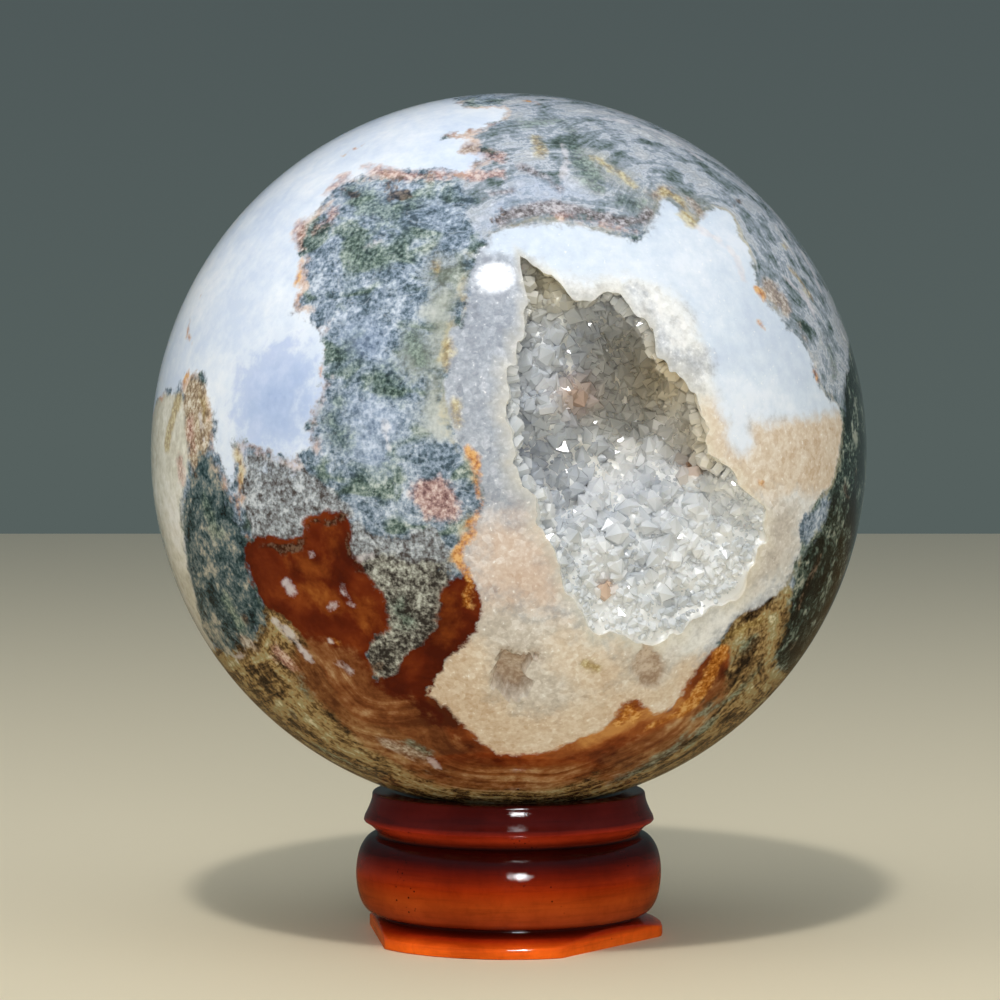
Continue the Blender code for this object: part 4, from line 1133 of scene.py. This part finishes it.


# Beech or birch stained red, under thick glossy lacquer, with painted light on the foot and painted shade in
# the groove and under the stone

def redLacquer():
    material, tree = newMaterial("redLacqueredWood")
    place = addNode(tree, "TexCoord")["Object"]
    inMm = addNode(tree, "Mapping", {"Scale": (1 / mm,) * 3}, {"Vector": place})[0]
    fibre = addNode(tree, "Mapping", {"Scale": (1.0, 1.0, 0.7)}, {"Vector": inMm})[0]
    streak = addNode(tree, "TexNoise", {"Scale": 0.7, "Detail": 3, "Roughness": 0.6, "Distortion": 1.2},
                     {"Vector": fibre})["Fac"]
    bandPlace = addNode(tree, "Mapping", {"Scale": (0.06, 0.06, 1.0)}, {"Vector": inMm})[0]
    bands = addNode(tree, "TexNoise", {"Scale": 0.9, "Detail": 4, "Roughness": 0.7},
                    {"Vector": bandPlace})["Fac"]
    cloud = addNode(tree, "TexNoise", {"Scale": 0.12, "Detail": 3, "Roughness": 0.5}, {"Vector": inMm})["Fac"]
    height = addNode(tree, "SeparateXYZ", {}, {"Vector": inMm})["Z"]
    along = addNode(tree, "MapRange", {"From Max": standHeight}, {"Value": height})[0]
    # stain by height, with painted light on the foot and painted shade in the groove, on the belly's top, the
    # neck and the collar
    colour = addNode(tree, "ValToRGB", {"stops": stand["stainLightAndShade"]}, {"Fac": along})[0]
    # fine grain, turned bands and clouds, each multiplied in by its share
    for noise, stops, share in ((streak, ((0.3, "#b09c94"), (0.5, "#e8e0dc"), (0.7, "#ffffff")), 0.25),
                                (bands, ((0.35, "#a29490"), (0.5, "#ece6e4"), (0.65, "#ffffff")), 0.45),
                                (cloud, ((0.35, "#c0aca6"), (0.6, "#ffffff")), 0.6)):
        shade = addNode(tree, "ValToRGB", {"stops": stops}, {"Fac": noise})[0]
        colour = addNode(tree, "Mix", {"data_type": "RGBA", "blend_type": "MULTIPLY", 0: share},
                         {6: colour, 7: shade})[2]
    # a few dark pores where the lacquer sank in
    pore = addNode(tree, "TexVoronoi", {"Scale": 1.3}, {"Vector": inMm})["Distance"]
    pore = addNode(tree, "MapRange", {"From Min": 0.2, "From Max": 0.12}, {"Value": pore})[0]
    porous = addNode(tree, "MapRange", {"From Min": 0.60, "From Max": 0.64}, {"Value": cloud})[0]
    pore = addNode(tree, "Math", {"operation": "MULTIPLY"}, {0: pore, 1: porous})[0]
    colour = addNode(tree, "Mix", {"data_type": "RGBA", 7: linearColour(stand["poreColour"])},
                     {0: pore, 6: colour})[2]
    dents = addNode(tree, "TexNoise", {"Scale": 0.9, "Detail": 5, "Roughness": 0.7}, {"Vector": inMm})["Fac"]
    bumps = addNode(tree, "Bump", {"Strength": 0.5, "Distance": 0.00006}, {"Height": dents})[0]
    shader = addNode(tree, "BsdfPrincipled", {
        "IOR": 1.45, "Specular IOR Level": 0.0, "Roughness": 0.5,
        "Coat Weight": 0.65, "Coat Roughness": 0.04, "Coat IOR": 1.4,
    }, {"Base Color": colour, "Normal": bumps, "Coat Normal": bumps})[0]
    addNode(tree, "OutputMaterial", {}, {"Surface": shader})
    return material


# Floor, light and camera

studio = {
    "floorSize": 3.0, "floorColour": "#eadcbc",
    # the sky's colour from the horizon to straight above, as shares of the way from nadir to zenith
    "sky": ((0.0, "#4a3f2e"), (0.42, "#5a4c36"), (0.47, "#56615f"), (0.5, "#56615f"),
            (0.60, "#4c5657"), (0.72, "#5f686d"), (0.85, "#848e97"), (1.0, "#98a2ab")),
    # place and size in metres, power in watts, and whether it shows as light, as gloss or as both
    "lights": {
        "key": ((-0.05, -0.467, 0.711), 0.052, 2.2, "both"),
        "keyHalo": ((-0.051, -0.470, 0.716), 0.15, 0.7, "both"),
        "front": ((0.118, -0.80, 0.25), 0.15, 6.0, "gloss"),
        "above": ((-0.1, -0.35, 0.95), 1.2, 1.6, "light"),
        "fillFront": ((0.03, -0.95, 0.12), 0.4, 3.1, "light"),
        "fillLeft": ((-0.98, -0.35, 0.40), 0.8, 2.3, "light"),
        "fillRight": ((0.98, -0.35, 0.45), 0.8, 2.0, "light"),
    },
}


def buildStudio():
    scene = bpy.context.scene
    scene.view_settings.view_transform = "Standard"
    floorMaterial = bpy.data.materials.new("paleFloor")
    floorMaterial.use_nodes = True
    shader = floorMaterial.node_tree.nodes["Principled BSDF"]
    shader.inputs["Base Color"].default_value = linearColour(studio["floorColour"])
    shader.inputs["Roughness"].default_value = 0.7
    half = studio["floorSize"] / 2
    mesh = bpy.data.meshes.new("floor")
    corners = [(-half, -half, 0), (half, -half, 0), (half, half, 0), (-half, half, 0)]
    mesh.from_pydata(corners, [], [(0, 1, 2, 3)])
    floor = finishedObject("floor", mesh, floorMaterial)
    floor.visible_glossy = False        # keeps its glare out of the polish
    world = bpy.data.worlds.new("studio")
    scene.world = world
    world.use_nodes = True
    tree = world.node_tree
    tree.nodes.clear()
    direction = addNode(tree, "TexCoord")["Generated"]
    height = addNode(tree, "SeparateXYZ", {}, {"Vector": direction})["Z"]
    height = addNode(tree, "MapRange", {"From Min": -1.0}, {"Value": height})[0]
    sky = addNode(tree, "ValToRGB", {"stops": studio["sky"]}, {"Fac": height})[0]
    light = addNode(tree, "Background", {"Strength": 1.0}, {"Color": sky})[0]
    addNode(tree, "OutputWorld", {}, {"Surface": light})
    for name, (place, size, power, shows) in studio["lights"].items():
        light = bpy.data.lights.new(name, "AREA")
        light.shape = "DISK"
        light.size = size
        light.energy = power
        lamp = bpy.data.objects.new(name, light)
        scene.collection.objects.link(lamp)
        lamp.visible_glossy = shows != "light"
        lamp.visible_diffuse = shows != "gloss"
        lamp.location = place
        towards = stoneCentre * mm - np.array(place)
        lamp.rotation_euler = (math.acos(-towards[2] / np.linalg.norm(towards)), 0,
                               math.atan2(towards[1], towards[0]) - math.pi / 2)
    camera = bpy.data.cameras.new("camera")
    camera.lens, camera.sensor_width = photo["lens"], photo["sensor"]
    camera.clip_start = 0.01
    eye = bpy.data.objects.new("camera", camera)
    scene.collection.objects.link(eye)
    eye.location = [value * mm for value in photo["cameraPlace"]]
    eye.rotation_euler = (math.radians(90 - photo["cameraPitch"]), 0, 0)
    scene.camera = eye


print("stone")
agate = dressStone(polishedAgate())
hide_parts("agate_sphere")
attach(agate, "root")

print("crystals")
crystals = dressCrystals(quartzCrystal())
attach(crystals, "root")

print("stand")
lacquered = dressStand(redLacquer())
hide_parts("wooden_stand")
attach(lacquered, "root")

print("studio")
buildStudio()
